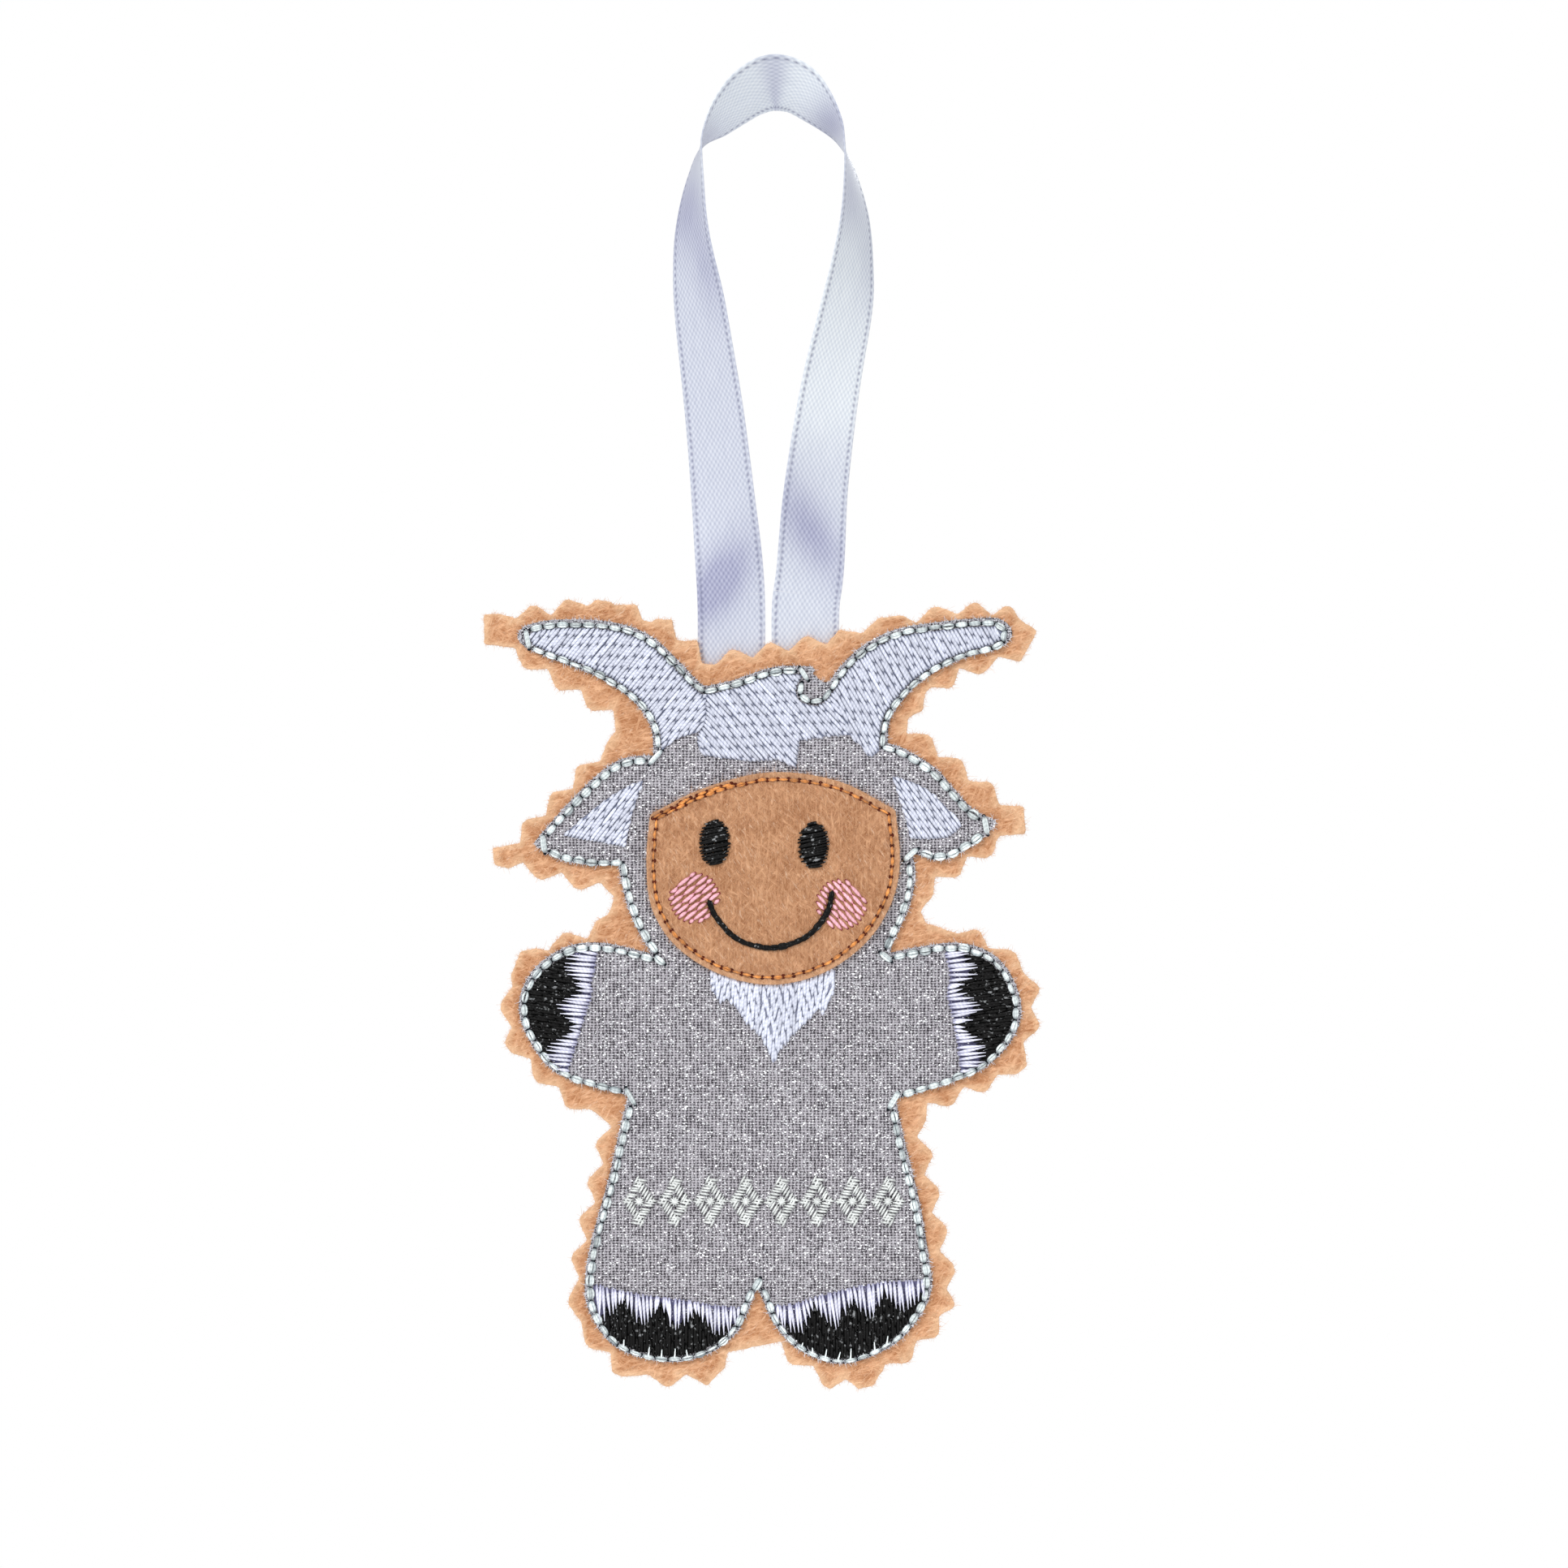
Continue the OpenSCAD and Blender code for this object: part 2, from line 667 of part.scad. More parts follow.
module cuff_hand_right() {
    cuff(cuff_hand_right_line, hoof_hand_right_line, hand_right_end);
}

module cuff_foot_left() {
    cuff(cuff_foot_left_line, hoof_foot_left_line, foot_left_end);
}

module cuff_foot_right() {
    cuff(cuff_foot_right_line, hoof_foot_right_line, foot_right_end);
}

// A row of diamond outlines, each with a small solid one in its middle
module belly_motif() {
    pitch = belly_w / diamonds;
    color(thread_silver)
        layer(cloth_y, thread_t)
            for (k = [0 : diamonds - 1])
                translate([belly_x + (k - (diamonds - 1) / 2) * pitch, belly_z]) {
                    difference() {
                        diamond(pitch - 0.3, diamond_h);
                        offset(delta = -diamond_line)
                            diamond(pitch - 0.3, diamond_h);
                    }
                    diamond(0.9, 1.2);
                }
}

// ---- embroidery on the face ----

module smile_shape() {
    translate([-0.1, -118.2])
        arc_band(smile_r, smile_w, 195, 353);
}

module smile() {
    color(thread_black)
        layer(face_y, thread_t)
            smile_shape();
}

module eye(x, z) {
    color(thread_black)
        layer(face_y, thread_t)
            translate([x, z])
                ellipse(eye_w, eye_h);
}

module eye_left() {
    eye(-8.5, -111.7);
}

module eye_right() {
    eye(6.5, -112.1);
}

module cheek(x, z) {
    color(thread_pink)
        layer(face_y, thread_t)
            difference() {
                translate([x, z])
                    ellipse(2 * cheek_r, 2 * cheek_r);
                offset(delta = 0.1)
                    smile_shape();
            }
}

module cheek_left() {
    cheek(-11.6, -120.1);
}

module cheek_right() {
    cheek(10.7, -121.1);
}

// ---- seams ----

module outline_stitches() {
    color(thread_silver)
        layer(cloth_y, seam_t)
            seam_round(figure, seam_stitch, seam_w);
}

module outline_stitches_back() {
    color(thread_white)
        layer(back_y - 0.05, groove_t - 0.05)
            seam_round(figure, seam_stitch, seam_w);
}

module face_stitches() {
    color(thread_orange)
        layer(face_y, 0.3)
            seam_round(face_line, face_stitch, face_seam_w);
}

ribbon_crown();
ribbon_leg_left();
ribbon_leg_right();
ribbon_tail_left();
ribbon_tail_right();
back_felt();
stabiliser();
front_felt();
body_fabric();
face_felt();
horn_left();
horn_right();
forelock();
ear_inner_left();
ear_inner_right();
beard();
hoof_hand_left();
hoof_hand_right();
hoof_foot_left();
hoof_foot_right();
cuff_hand_left();
cuff_hand_right();
cuff_foot_left();
cuff_foot_right();
eye_left();
eye_right();
cheek_left();
cheek_right();
smile();
belly_motif();
outline_stitches();
outline_stitches_back();
face_stitches();
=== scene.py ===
"""A felt goat ornament on a ribbon loop: threads, felts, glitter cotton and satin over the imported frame."""

import math

import bpy
import numpy as np
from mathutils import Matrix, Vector, noise
from mathutils.geometry import delaunay_2d_cdt
from mathutils.kdtree import KDTree


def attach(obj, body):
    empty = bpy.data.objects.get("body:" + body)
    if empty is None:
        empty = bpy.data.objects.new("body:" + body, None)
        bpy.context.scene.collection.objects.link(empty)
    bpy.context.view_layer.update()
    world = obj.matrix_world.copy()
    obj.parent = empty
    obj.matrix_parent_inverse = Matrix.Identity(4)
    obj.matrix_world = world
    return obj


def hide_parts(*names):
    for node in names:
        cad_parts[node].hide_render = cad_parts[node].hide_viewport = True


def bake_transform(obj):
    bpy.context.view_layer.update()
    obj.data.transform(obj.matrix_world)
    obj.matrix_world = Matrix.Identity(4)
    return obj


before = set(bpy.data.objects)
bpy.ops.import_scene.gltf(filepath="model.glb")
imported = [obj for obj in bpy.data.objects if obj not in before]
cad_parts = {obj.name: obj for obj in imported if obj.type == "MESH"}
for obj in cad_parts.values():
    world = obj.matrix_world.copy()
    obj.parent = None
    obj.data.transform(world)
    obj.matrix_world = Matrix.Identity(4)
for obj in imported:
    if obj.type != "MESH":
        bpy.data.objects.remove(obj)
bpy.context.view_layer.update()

# Lengths are in millimetres up to Mesh.piece(), which makes them metres. A flat point is (x, z), and y is
# depth: negative is nearer the viewer. These are the fronts of the layers, and the back of the back felt.
MM = 0.001
FELT_FRONT = -1.2
CLOTH = -1.5
FACE = -2.4
BACK = 1.2
# The ribbon's tails between the felts: their middles, their lower end, and the width
# and depth of the room pressed for each in the back felt
LEFT_TAIL_X = -6
RIGHT_TAIL_X = 5.3
TAIL_END_Z = -96.9
TAIL_ROOM = 11
POCKET_DEPTH = 0.31
random = np.random.default_rng(295)


# ---- materials ----


def srgb(red, green, blue):
    """A colour as it looks on a screen, 0 to 255, in linear light."""
    return (*(((c / 255 + 0.055) / 1.055) ** 2.4 for c in (red, green, blue)), 1.0)


class Field:
    """A value that varies over a surface, made by a node. Arithmetic on it adds Math nodes."""

    def __init__(self, nodes, socket):
        self.nodes, self.socket = nodes, socket

    def __add__(self, other):
        return self.nodes.math("ADD", self, other)

    def __sub__(self, other):
        return self.nodes.math("SUBTRACT", self, other)

    def __mul__(self, other):
        return self.nodes.math("MULTIPLY", self, other)

    def __abs__(self):
        return self.nodes.math("ABSOLUTE", self)

    def maximum(self, other):
        return self.nodes.math("MAXIMUM", self, other)

    def sine(self):
        return self.nodes.math("SINE", self)

    def clamp(self, low, high):
        """The value's place between low and high, from 0 to 1."""
        return self.nodes.add("ShaderNodeMapRange", self, low, high, 0.0, 1.0)


class Nodes:
    """A node material under construction, with a Principled shader."""

    def __init__(self, name, roughness, specular=0.5, sheen=0.0):
        self.material = bpy.data.materials.new(name)
        self.material.use_nodes = True
        self.tree = self.material.node_tree
        self.shader = self.tree.nodes["Principled BSDF"]
        self.shader.inputs["Roughness"].default_value = roughness
        self.shader.inputs["Specular IOR Level"].default_value = specular
        self.shader.inputs["Sheen Weight"].default_value = sheen

    def put(self, socket, value):
        if isinstance(value, Field):
            self.tree.links.new(value.socket, socket)
        else:
            socket.default_value = value

    def add(self, kind, *values, out=0, **settings):
        """An output of a new node whose first inputs are filled in order. A dict among the values
        names its inputs."""
        node = self.tree.nodes.new(kind)
        for key, value in settings.items():
            setattr(node, key, value)
        for i, value in enumerate(v for v in values if not isinstance(v, dict)):
            self.put(node.inputs[i], value)
        for named in (v for v in values if isinstance(v, dict)):
            for key, value in named.items():
                self.put(node.inputs[key], value)
        return Field(self, node.outputs[out])

    def math(self, operation, a, b=0.0):
        return self.add("ShaderNodeMath", a, b, operation=operation)

    def mix(self, factor, a, b, blend="MIX"):
        node = self.tree.nodes.new("ShaderNodeMix")
        node.data_type = "RGBA"
        node.blend_type = blend
        for i, value in ((0, factor), (6, a), (7, b)):
            self.put(node.inputs[i], value)
        return Field(self, node.outputs[2])

    def place(self, scale=(1000, 1000, 1000), turn=0.0):
        """The object's coordinates in millimetres, turned about Y and then stretched."""
        where = self.add("ShaderNodeTexCoord", out="Object")
        if turn:
            where = self.add("ShaderNodeMapping", where, (0, 0, 0), (0, turn, 0))
        return self.add("ShaderNodeMapping", where, (0, 0, 0), (0, 0, 0), scale)

    def noise(self, where, scale, detail=3.0, roughness=0.6, swirl=0.0):
        settings = {"Vector": where, "Scale": scale, "Detail": detail, "Roughness": roughness}
        return self.add("ShaderNodeTexNoise", {**settings, "Distortion": swirl})

    def parts(self, vector):
        return [self.add("ShaderNodeSeparateXYZ", vector, out=axis) for axis in "XYZ"]

    def thread(self):
        """The three values that the mesh carries as "thread"."""
        return self.parts(self.add("ShaderNodeAttribute", out="Vector", attribute_name="thread"))

    def shade(self):
        return self.add("ShaderNodeAttribute", out="Fac", attribute_name="shade")

    def bump(self, height, strength, distance):
        """Relief on the surface, up to the distance in mm."""
        relief = {"Height": height, "Strength": strength, "Distance": distance * MM}
        self.put(self.shader.inputs["Normal"], self.add("ShaderNodeBump", relief))

    def colour(self, value):
        self.put(self.shader.inputs["Base Color"], value)


TURN = 2 * math.pi


def thread_material(name, lit, dark, roughness=0.42, glint=0.0, specular=0.45):
    """Twisted embroidery thread. The mesh carries "thread" (mm along, turns round, tone) and "shade", its
    painted shade.
    """
    n = Nodes(name, roughness, specular, sheen=0.15 * (specular > 0.3))
    along, turns, tone = n.thread()
    twist = ((along * 1.6 + turns) * TURN).sine()
    base = n.mix(n.shade() * (twist.clamp(-1.4, 1.0) * 0.28 + 0.74), dark, lit)
    bright = tone * 0.3 + n.noise(n.place(), 4.5, 2.0) * 0.16 + 0.8
    base = n.mix(1.0, base, n.add("ShaderNodeCombineColor", bright, bright, bright), "MULTIPLY")
    # Painted highlights: glints in streaks along each strand
    if glint:
        streaks = n.add("ShaderNodeCombineXYZ", along * 1.3, turns * 1.6, tone * 70.0)
        sparks = n.noise(streaks, 1.0, 2.0).clamp(0.6, 0.72)
        base = n.mix(sparks * glint, base, srgb(235, 238, 240))
    n.colour(base)
    n.bump(twist, 0.5, 0.04)
    return n.material


def felt_material(name, pale, deep, along, rim=0.42):
    """Pressed wool felt with fibres that run mostly at the angle given, in radians. "shade" is 1 at a rim,
    where the felt is painted paler: partly its paler cut fibres, partly a painted highlight along the edge."""
    n = Nodes(name, 0.95, specular=0.15, sheen=0.3)
    fibres = n.noise(n.place((400, 1000, 2000), along), 1.25, 4.0, 0.7, 0.6)
    second = n.noise(n.place((450, 1000, 2000), along + 0.9), 1.1, 4.0, 0.7, 0.8)
    third = n.noise(n.place((450, 1000, 2000), along - 0.8), 1.15, 4.0, 0.7, 0.8)
    height = fibres.maximum(second - 0.03).maximum(third - 0.04)
    clouds = n.noise(n.place(), 0.3, 3.0)
    base = n.mix((height * 0.85 + clouds * 0.15).clamp(0.44, 0.64), deep, pale)
    stray = n.noise(n.place((800, 1000, 5200), along + 0.5), 0.8, 2.0, 0.5, 1.2).clamp(0.6, 0.7)
    base = n.mix(stray * 0.4, base, n.mix(0.6, pale, srgb(255, 236, 214)))
    # Painted highlight: paler towards the rim, where "shade" is 1, partly for the paler cut fibres there
    n.colour(n.mix(n.shade() * rim, base, srgb(255, 220, 180)))
    n.bump(height, 0.6, 0.3)
    return n.material


# The cotton's threads: mm between them, across and down, and how far they wander
WARP_PITCH = 0.555
WEFT_PITCH = 0.42
WANDER = 0.28


def cotton_material(name):
    """Plain-woven cotton, 18 threads per centimetre across and 24 down."""
    n = Nodes(name, 0.7, specular=0.4)
    wander = n.add("ShaderNodeTexNoise", {"Vector": n.place(), "Scale": 0.5}, out=1)
    where = n.add("ShaderNodeVectorMath", wander, (WANDER,) * 3, n.place(), operation="MULTIPLY_ADD")
    x, _, z = n.parts(where)
    warp = ((x - WANDER / 2) * (math.pi / WARP_PITCH)).sine()
    weft = ((z - WANDER / 2) * (math.pi / WEFT_PITCH)).sine()
    over = warp * weft
    height = (abs(warp) * (over * 0.3 + 0.7)).maximum(abs(weft) * (over * -0.3 + 0.7))
    # Painted shade: the colour mostly follows the weave's height, dark in the gaps between the threads
    lift = (height + (n.noise(n.place(), 1.6, 3.0) - 0.5) * 1.1).clamp(0.34, 0.86)
    plain = n.mix(lift, srgb(34, 29, 36), srgb(186, 181, 188))
    pale = n.mix(lift, srgb(52, 46, 54), srgb(200, 196, 202))
    n.colour(n.mix(n.noise(n.place(), 0.35, 2.0).clamp(0.35, 0.7), plain, pale))
    n.bump(height, 0.6, 0.12)
    return n.material


def glitter_material(name):
    """Flakes of silver glitter, some much brighter than others; the brighter ones glow as painted highlights.
    """
    n = Nodes(name, 0.35, specular=0.8)
    grain = n.noise(n.place(), 6.0, 1.0)
    bright = n.thread()[2] + (grain - 0.5) * 0.3
    n.colour(n.mix(bright, srgb(190, 190, 196), srgb(255, 255, 255)))
    # Painted highlights: the brighter flakes glow
    glow = n.mix(bright.clamp(0.4, 0.9), srgb(0, 0, 0), srgb(190, 190, 194))
    n.put(n.shader.inputs["Emission Color"], glow)
    n.shader.inputs["Emission Strength"].default_value = 0.6
    n.bump(grain, 0.3, 0.05)
    return n.material


def satin_material(name):
    """Satin ribbon. "thread" holds (mm along, mm across, tone), tone being its painted sheen and shade,
    and "shade" is 0 in the picot holes, where it is painted shade.
    """
    n = Nodes(name, 0.38, specular=0.55, sheen=0.25)
    along, across, tone = n.thread()
    shade = n.shade()
    slope, lines = along * (TURN / 1.1), across * (TURN / 0.74)
    fine = (lines + slope).sine() + (lines - slope).sine()
    ribs = n.noise(n.add("ShaderNodeCombineXYZ", along * 0.25, across * 3.2), 1.0, 2.0)
    weave = fine.clamp(-1.6, 1.8) * 0.6 + ribs * 0.55
    # pale is the satin in its painted sheen, deep where that falls away to painted lavender shade
    pale = n.mix(weave, srgb(201, 209, 221), srgb(249, 253, 255))
    deep = n.mix(weave, srgb(126, 128, 164), srgb(190, 192, 214))
    n.colour(n.mix(shade, srgb(112, 114, 146), n.mix(tone, pale, deep)))
    n.bump(weave * shade, 0.35, 0.06)
    return n.material


def plain_fibre_material(name, pale, deep, scale=1.4):
    n = Nodes(name, 0.9, specular=0.2)
    n.colour(n.mix(n.noise(n.place(), scale, 4.0).clamp(0.3, 0.7), deep, pale))
    n.bump(n.noise(n.place((500, 1000, 1500), 0.7), 2.0, 4.0), 0.4, 0.1)
    return n.material


WHITE = thread_material("thread_white", srgb(226, 229, 243), srgb(112, 118, 144))
CUFF = thread_material("thread_cuff", srgb(240, 240, 253), srgb(118, 116, 164))
BLACK = thread_material("thread_black", srgb(20, 19, 19), srgb(2, 2, 2), 0.4, glint=0.35, specular=0.14)
PINK = thread_material("thread_pink", srgb(255, 194, 208), srgb(180, 84, 102))
SILVER = thread_material("thread_silver", srgb(246, 254, 253), srgb(48, 70, 84), roughness=0.35)
MOTIF = thread_material("thread_motif", srgb(244, 247, 244), srgb(84, 84, 88), roughness=0.32)
ORANGE = thread_material("thread_orange", srgb(246, 160, 78), srgb(110, 52, 20))
COTTON_END = thread_material("cotton_ends", srgb(250, 250, 254), srgb(170, 168, 184), roughness=0.5)
BOBBIN = thread_material("thread_bobbin", srgb(236, 236, 240), srgb(120, 116, 128))
# Painted shade: the dark discs in needle holes, where there is only shade
HOLE_SHADE = plain_fibre_material("needle_hole_shade", srgb(34, 40, 48), srgb(10, 12, 18))
HOLE_SHADE_FACE = plain_fibre_material("needle_hole_shade_face", srgb(104, 40, 20), srgb(64, 24, 12))
HOLE_SHADE_CHEEK = plain_fibre_material("needle_hole_shade_cheek", srgb(136, 48, 56), srgb(100, 32, 38))
# Beds under the pale fills: real understitching, coloured grey and lavender as painted shade between the
# threads
UNDER_WHITE_SHADE = plain_fibre_material("understitch_white_shade", srgb(152, 158, 182), srgb(112, 118, 142))
UNDER_BEARD_SHADE = plain_fibre_material("understitch_beard_shade", srgb(186, 190, 212), srgb(148, 152, 176))
UNDER_CUFF_SHADE = plain_fibre_material("understitch_cuff_shade", srgb(128, 126, 160), srgb(84, 82, 116))
UNDER_BLACK = plain_fibre_material("understitch_black", srgb(14, 14, 15), srgb(4, 4, 4))
CAMEL = felt_material("felt_camel", srgb(240, 186, 144), srgb(178, 118, 76), 0.25)
CAMEL_BACK = felt_material("felt_camel_back", srgb(240, 186, 144), srgb(178, 118, 76), 1.2)
CAMEL_FIBRE = plain_fibre_material("felt_fibres", srgb(248, 202, 162), srgb(222, 166, 122))
TAN_FIBRE = plain_fibre_material("face_felt_fibres", srgb(232, 184, 144), srgb(196, 144, 104))
TAN = felt_material("felt_face", srgb(220, 168, 128), srgb(160, 108, 72), 1.57, rim=0.12)
COTTON = cotton_material("glitter_cotton")
GLITTER = glitter_material("glitter_flakes")
SATIN = satin_material("satin_ribbon")
NONWOVEN = plain_fibre_material("nonwoven_stabiliser", srgb(246, 246, 246), srgb(226, 226, 228))


# ---- meshes ----


class Mesh:
    """Vertices in mm, faces, and the two values that each vertex carries, gathered into one mesh."""

    def __init__(self):
        self.points, self.thread, self.shade = [], [], []
        self.faces, self.slots = [], []
        self.count = 0

    def add(self, points, faces, slot=0, thread=(0, 0, 0.5), shade=1.0):
        points = np.asarray(points, float).reshape(-1, 3)
        self.points.append(points)
        self.thread.append(np.broadcast_to(np.asarray(thread, float), points.shape))
        self.shade.append(np.broadcast_to(np.asarray(shade, float), len(points)))
        for group in faces:
            group = np.asarray(group) + self.count
            self.faces.extend(group.tolist())
            self.slots.extend([slot] * len(group))
        self.count += len(points)

    def piece(self, name, body, materials, replaces, slot, crease=None):
        """The finished Blender object, in metres, riding on its body. body is None for a piece left on no
        body.
        """
        mesh = bpy.data.meshes.new(name)
        mesh.from_pydata((np.concatenate(self.points) * MM).tolist(), [], self.faces)
        for material in materials:
            mesh.materials.append(material)
        mesh.polygons.foreach_set("material_index", self.slots)
        mesh.polygons.foreach_set("use_smooth", [True] * len(self.faces))
        thread = mesh.attributes.new("thread", "FLOAT_VECTOR", "POINT")
        thread.data.foreach_set("vector", np.concatenate(self.thread).astype(np.float32).ravel())
        shade = mesh.attributes.new("shade", "FLOAT", "POINT")
        shade.data.foreach_set("value", np.concatenate(self.shade).astype(np.float32))
        mesh.update()
        if crease is not None:
            mesh.set_sharp_from_angle(angle=crease)
        made = bpy.data.objects.new(name, mesh)
        bpy.context.scene.collection.objects.link(made)
        if body:
            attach(made, body)
        names = (replaces,) if isinstance(replaces, str) else replaces
        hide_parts(*names)
        return made


def strands(mesh, paths, widths, heights, slot=0, tone=0.5, shade=None, sides=6, up=(0, -1, 0)):
    """Thin threads along paths (strand, point, xyz). Widths, heights and shades are (strand, point), and
    up is the side that the light falls on."""
    paths = np.asarray(paths, float)
    count, steps = paths.shape[:2]
    up = np.asarray(up, float)
    along = np.gradient(paths, axis=1)
    along /= np.linalg.norm(along, axis=2, keepdims=True) + 1e-12
    side = np.cross(along, np.broadcast_to(up, along.shape))
    side /= np.linalg.norm(side, axis=2, keepdims=True) + 1e-12
    lift = np.cross(side, along)
    turn = TURN * np.arange(sides) / sides
    widths = np.broadcast_to(widths, (count, steps))[..., None, None] / 2
    heights = np.broadcast_to(heights, (count, steps))[..., None, None] / 2
    points = (
        paths[:, :, None]
        + side[:, :, None] * widths * np.cos(turn)[:, None]
        + lift[:, :, None] * heights * np.sin(turn)[:, None]
    )
    lengths = np.cumsum(
        np.concatenate([np.zeros((count, 1)), np.linalg.norm(np.diff(paths, axis=1), axis=2)], 1), 1
    )
    thread = np.empty(points.shape)
    thread[..., 0] = lengths[:, :, None]
    thread[..., 1] = np.arange(sides) / sides
    thread[..., 2] = np.reshape(np.broadcast_to(tone, count), (count, 1, 1))
    shades = np.ones((count, steps)) if shade is None else np.broadcast_to(shade, (count, steps))
    # Painted shade: each thread is darker at its sides and underneath than on top, where the light falls
    shades = shades[..., None] * np.clip(0.6 + 0.45 * np.sin(turn), 0.2, 1.0)
    ring = np.arange(sides)
    one = np.arange(count)[:, None, None] * steps * sides + np.arange(steps - 1)[None, :, None] * sides
    quads = np.stack(
        [one + ring, one + (ring + 1) % sides, one + sides + (ring + 1) % sides, one + sides + ring], -1
    ).reshape(-1, 4)[:, ::-1]
    starts = np.arange(count)[:, None] * steps * sides
    caps = [starts + ring, (starts + (steps - 1) * sides + ring)[:, ::-1]]
    mesh.add(points, [quads, *caps], slot, thread.reshape(-1, 3), shades.ravel())


def discs(mesh, centres, radius, slot, up=-1.0, sides=7):
    """Small low domes, such as the dark discs of painted shade in needle holes."""
    centres = np.asarray(centres, float).reshape(-1, 3)
    turn = TURN * np.arange(sides) / sides
    circle = np.stack([np.cos(turn), np.zeros(sides), np.sin(turn)], 1)
    radii = np.broadcast_to(radius, len(centres))[:, None, None]
    rims = centres[:, None] + circle * radii
    tops = centres[:, None] + np.array([0, 0.02 * up, 0])
    points = np.concatenate([rims, tops], 1)
    base = np.arange(len(centres))[:, None] * (sides + 1)
    ring = np.arange(sides)
    tips = np.broadcast_to(base + sides, (len(centres), sides))
    fans = np.stack([base + ring, base + (ring + 1) % sides, tips], -1).reshape(-1, 3)
    mesh.add(points, [fans if up < 0 else fans[:, ::-1]], slot)


# ---- outlines of the CAD nodes ----


def node_loops(name, side=-1):
    """The closed outlines, in (x, z), of a flat CAD node's front (side -1) or back (side 1)."""
    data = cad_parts[name].data
    data.calc_loop_triangles()
    places = np.array([v.co for v in data.vertices]) / MM
    corners = np.array([t.vertices[:] for t in data.loop_triangles])
    level = (places[:, 1] * side).max()
    flat = (np.abs(places[corners][:, :, 1] * side - level) < 1e-3).all(1)
    edges = {}
    for triangle in places[corners[flat]][:, :, [0, 2]].round(3):
        keys = [tuple(p) for p in triangle]
        for i in range(3):
            start, end = keys[i], keys[(i + 1) % 3]
            if (end, start) in edges:
                del edges[(end, start)]
            else:
                edges[(start, end)] = True
    follow = {}
    for start, end in edges:
        follow.setdefault(start, []).append(end)
    loops = []
    while follow:
        first = min(follow)
        loop, here = [], first
        while here in follow:
            loop.append(here)
            ends = follow[here]
            step = ends.pop()
            if not ends:
                del follow[here]
            here = step
        if len(loop) > 2:
            loops.append(np.array(loop))
    return loops


def at_depth(flat, y):
    """Flat points (x, z) as (x, y, z)."""
    return np.insert(flat, 1, y, axis=-1)


def finer(loop, step):
    """The same closed outline with no edge longer than step."""
    made = []
    for a, b in zip(loop, np.roll(loop, -1, 0)):
        parts = max(1, math.ceil(np.linalg.norm(b - a) / step))
        made.extend(a + (b - a) * k / parts for k in range(parts))
    return np.array(made)


def softer(loop):
    """The outline with each corner cut a little."""
    after = np.roll(loop, -1, 0)
    return np.stack([loop * 0.75 + after * 0.25, loop * 0.25 + after * 0.75], 1).reshape(-1, 2)


def signed_area(loop):
    """The outline's area, negative where it runs clockwise."""
    x, z = loop.T
    return 0.5 * (np.dot(x, np.roll(z, -1)) - np.dot(z, np.roll(x, -1)))


def normals(loop):
    """Outward directions at the points of an anticlockwise outline."""
    along = np.roll(loop, -1, 0) - np.roll(loop, 1, 0)
    along /= np.linalg.norm(along, axis=1, keepdims=True) + 1e-9
    return np.stack([along[:, 1], -along[:, 0]], 1)


def anticlockwise(loop):
    return loop if signed_area(loop) > 0 else loop[::-1]


def inside(points, loops):
    """Which points lie within the outlines."""
    hits = np.zeros(len(points), int)
    for loop in loops:
        for a, b in zip(loop, np.roll(loop, -1, 0)):
            if a[1] == b[1]:
                continue
            spans = (points[:, 1] >= min(a[1], b[1])) & (points[:, 1] < max(a[1], b[1]))
            x = a[0] + (points[:, 1] - a[1]) * (b[0] - a[0]) / (b[1] - a[1])
            hits += spans & (points[:, 0] < x)
    return hits % 2 == 1


def filled(loop, extra=()):
    """Triangles over a closed outline, with further points inside it: points, triangles, and each point's
    number in the outline or -1."""
    size = len(loop)
    vectors = [Vector(p) for p in (*loop, *extra)]
    edges = [(i, (i + 1) % size) for i in range(size)]
    flat, _, triangles, sources, *_ = delaunay_2d_cdt(vectors, edges, [], 0, 1e-6)
    flat = np.array([(p.x, p.y) for p in flat])
    triangles = np.array(triangles)
    triangles = triangles[inside(flat[triangles].mean(1), [loop])]
    numbers = np.array([min((s for s in own if s < size), default=-1) for own in sources])
    return flat, triangles, numbers


def stitches_of(name, side=-1):
    """Centre, direction and length of each stitch of a CAD seam, in (x, z)."""
    found = []
    for loop in node_loops(name, side):
        centre = loop.mean(0)
        spread = loop - centre
        far = spread[np.argmax((spread**2).sum(1))]
        direction = np.linalg.svd(spread)[2][0]
        direction = direction if far @ direction > 0 else -direction
        reach = spread @ direction
        found.append((centre + direction * (reach.max() + reach.min()) / 2, direction, np.ptp(reach)))
    return found


def ripple(points, scale, seed=0.0):
    """Smooth noise from -1 to 1 at flat points."""
    return np.array([noise.noise((x * scale, seed, z * scale)) for x, z in points])


# ---- embroidery ----


class Bundle:
    """Strands of thread gathered for one mesh, all with the same number of points."""

    def __init__(self):
        self.gathered = []

    def add(self, flat, y, width, height, tone, shade):
        """One strand, through flat points (x, z) at the depths y."""
        self.gathered.append((at_depth(flat, y), width, height, tone, shade))

    def lay(self, mesh, up=-1.0):
        paths, widths, heights, tones, shades = (np.array(part) for part in zip(*self.gathered))
        strands(mesh, paths, widths, heights, 0, tones, shades, up=(0, up, 0))


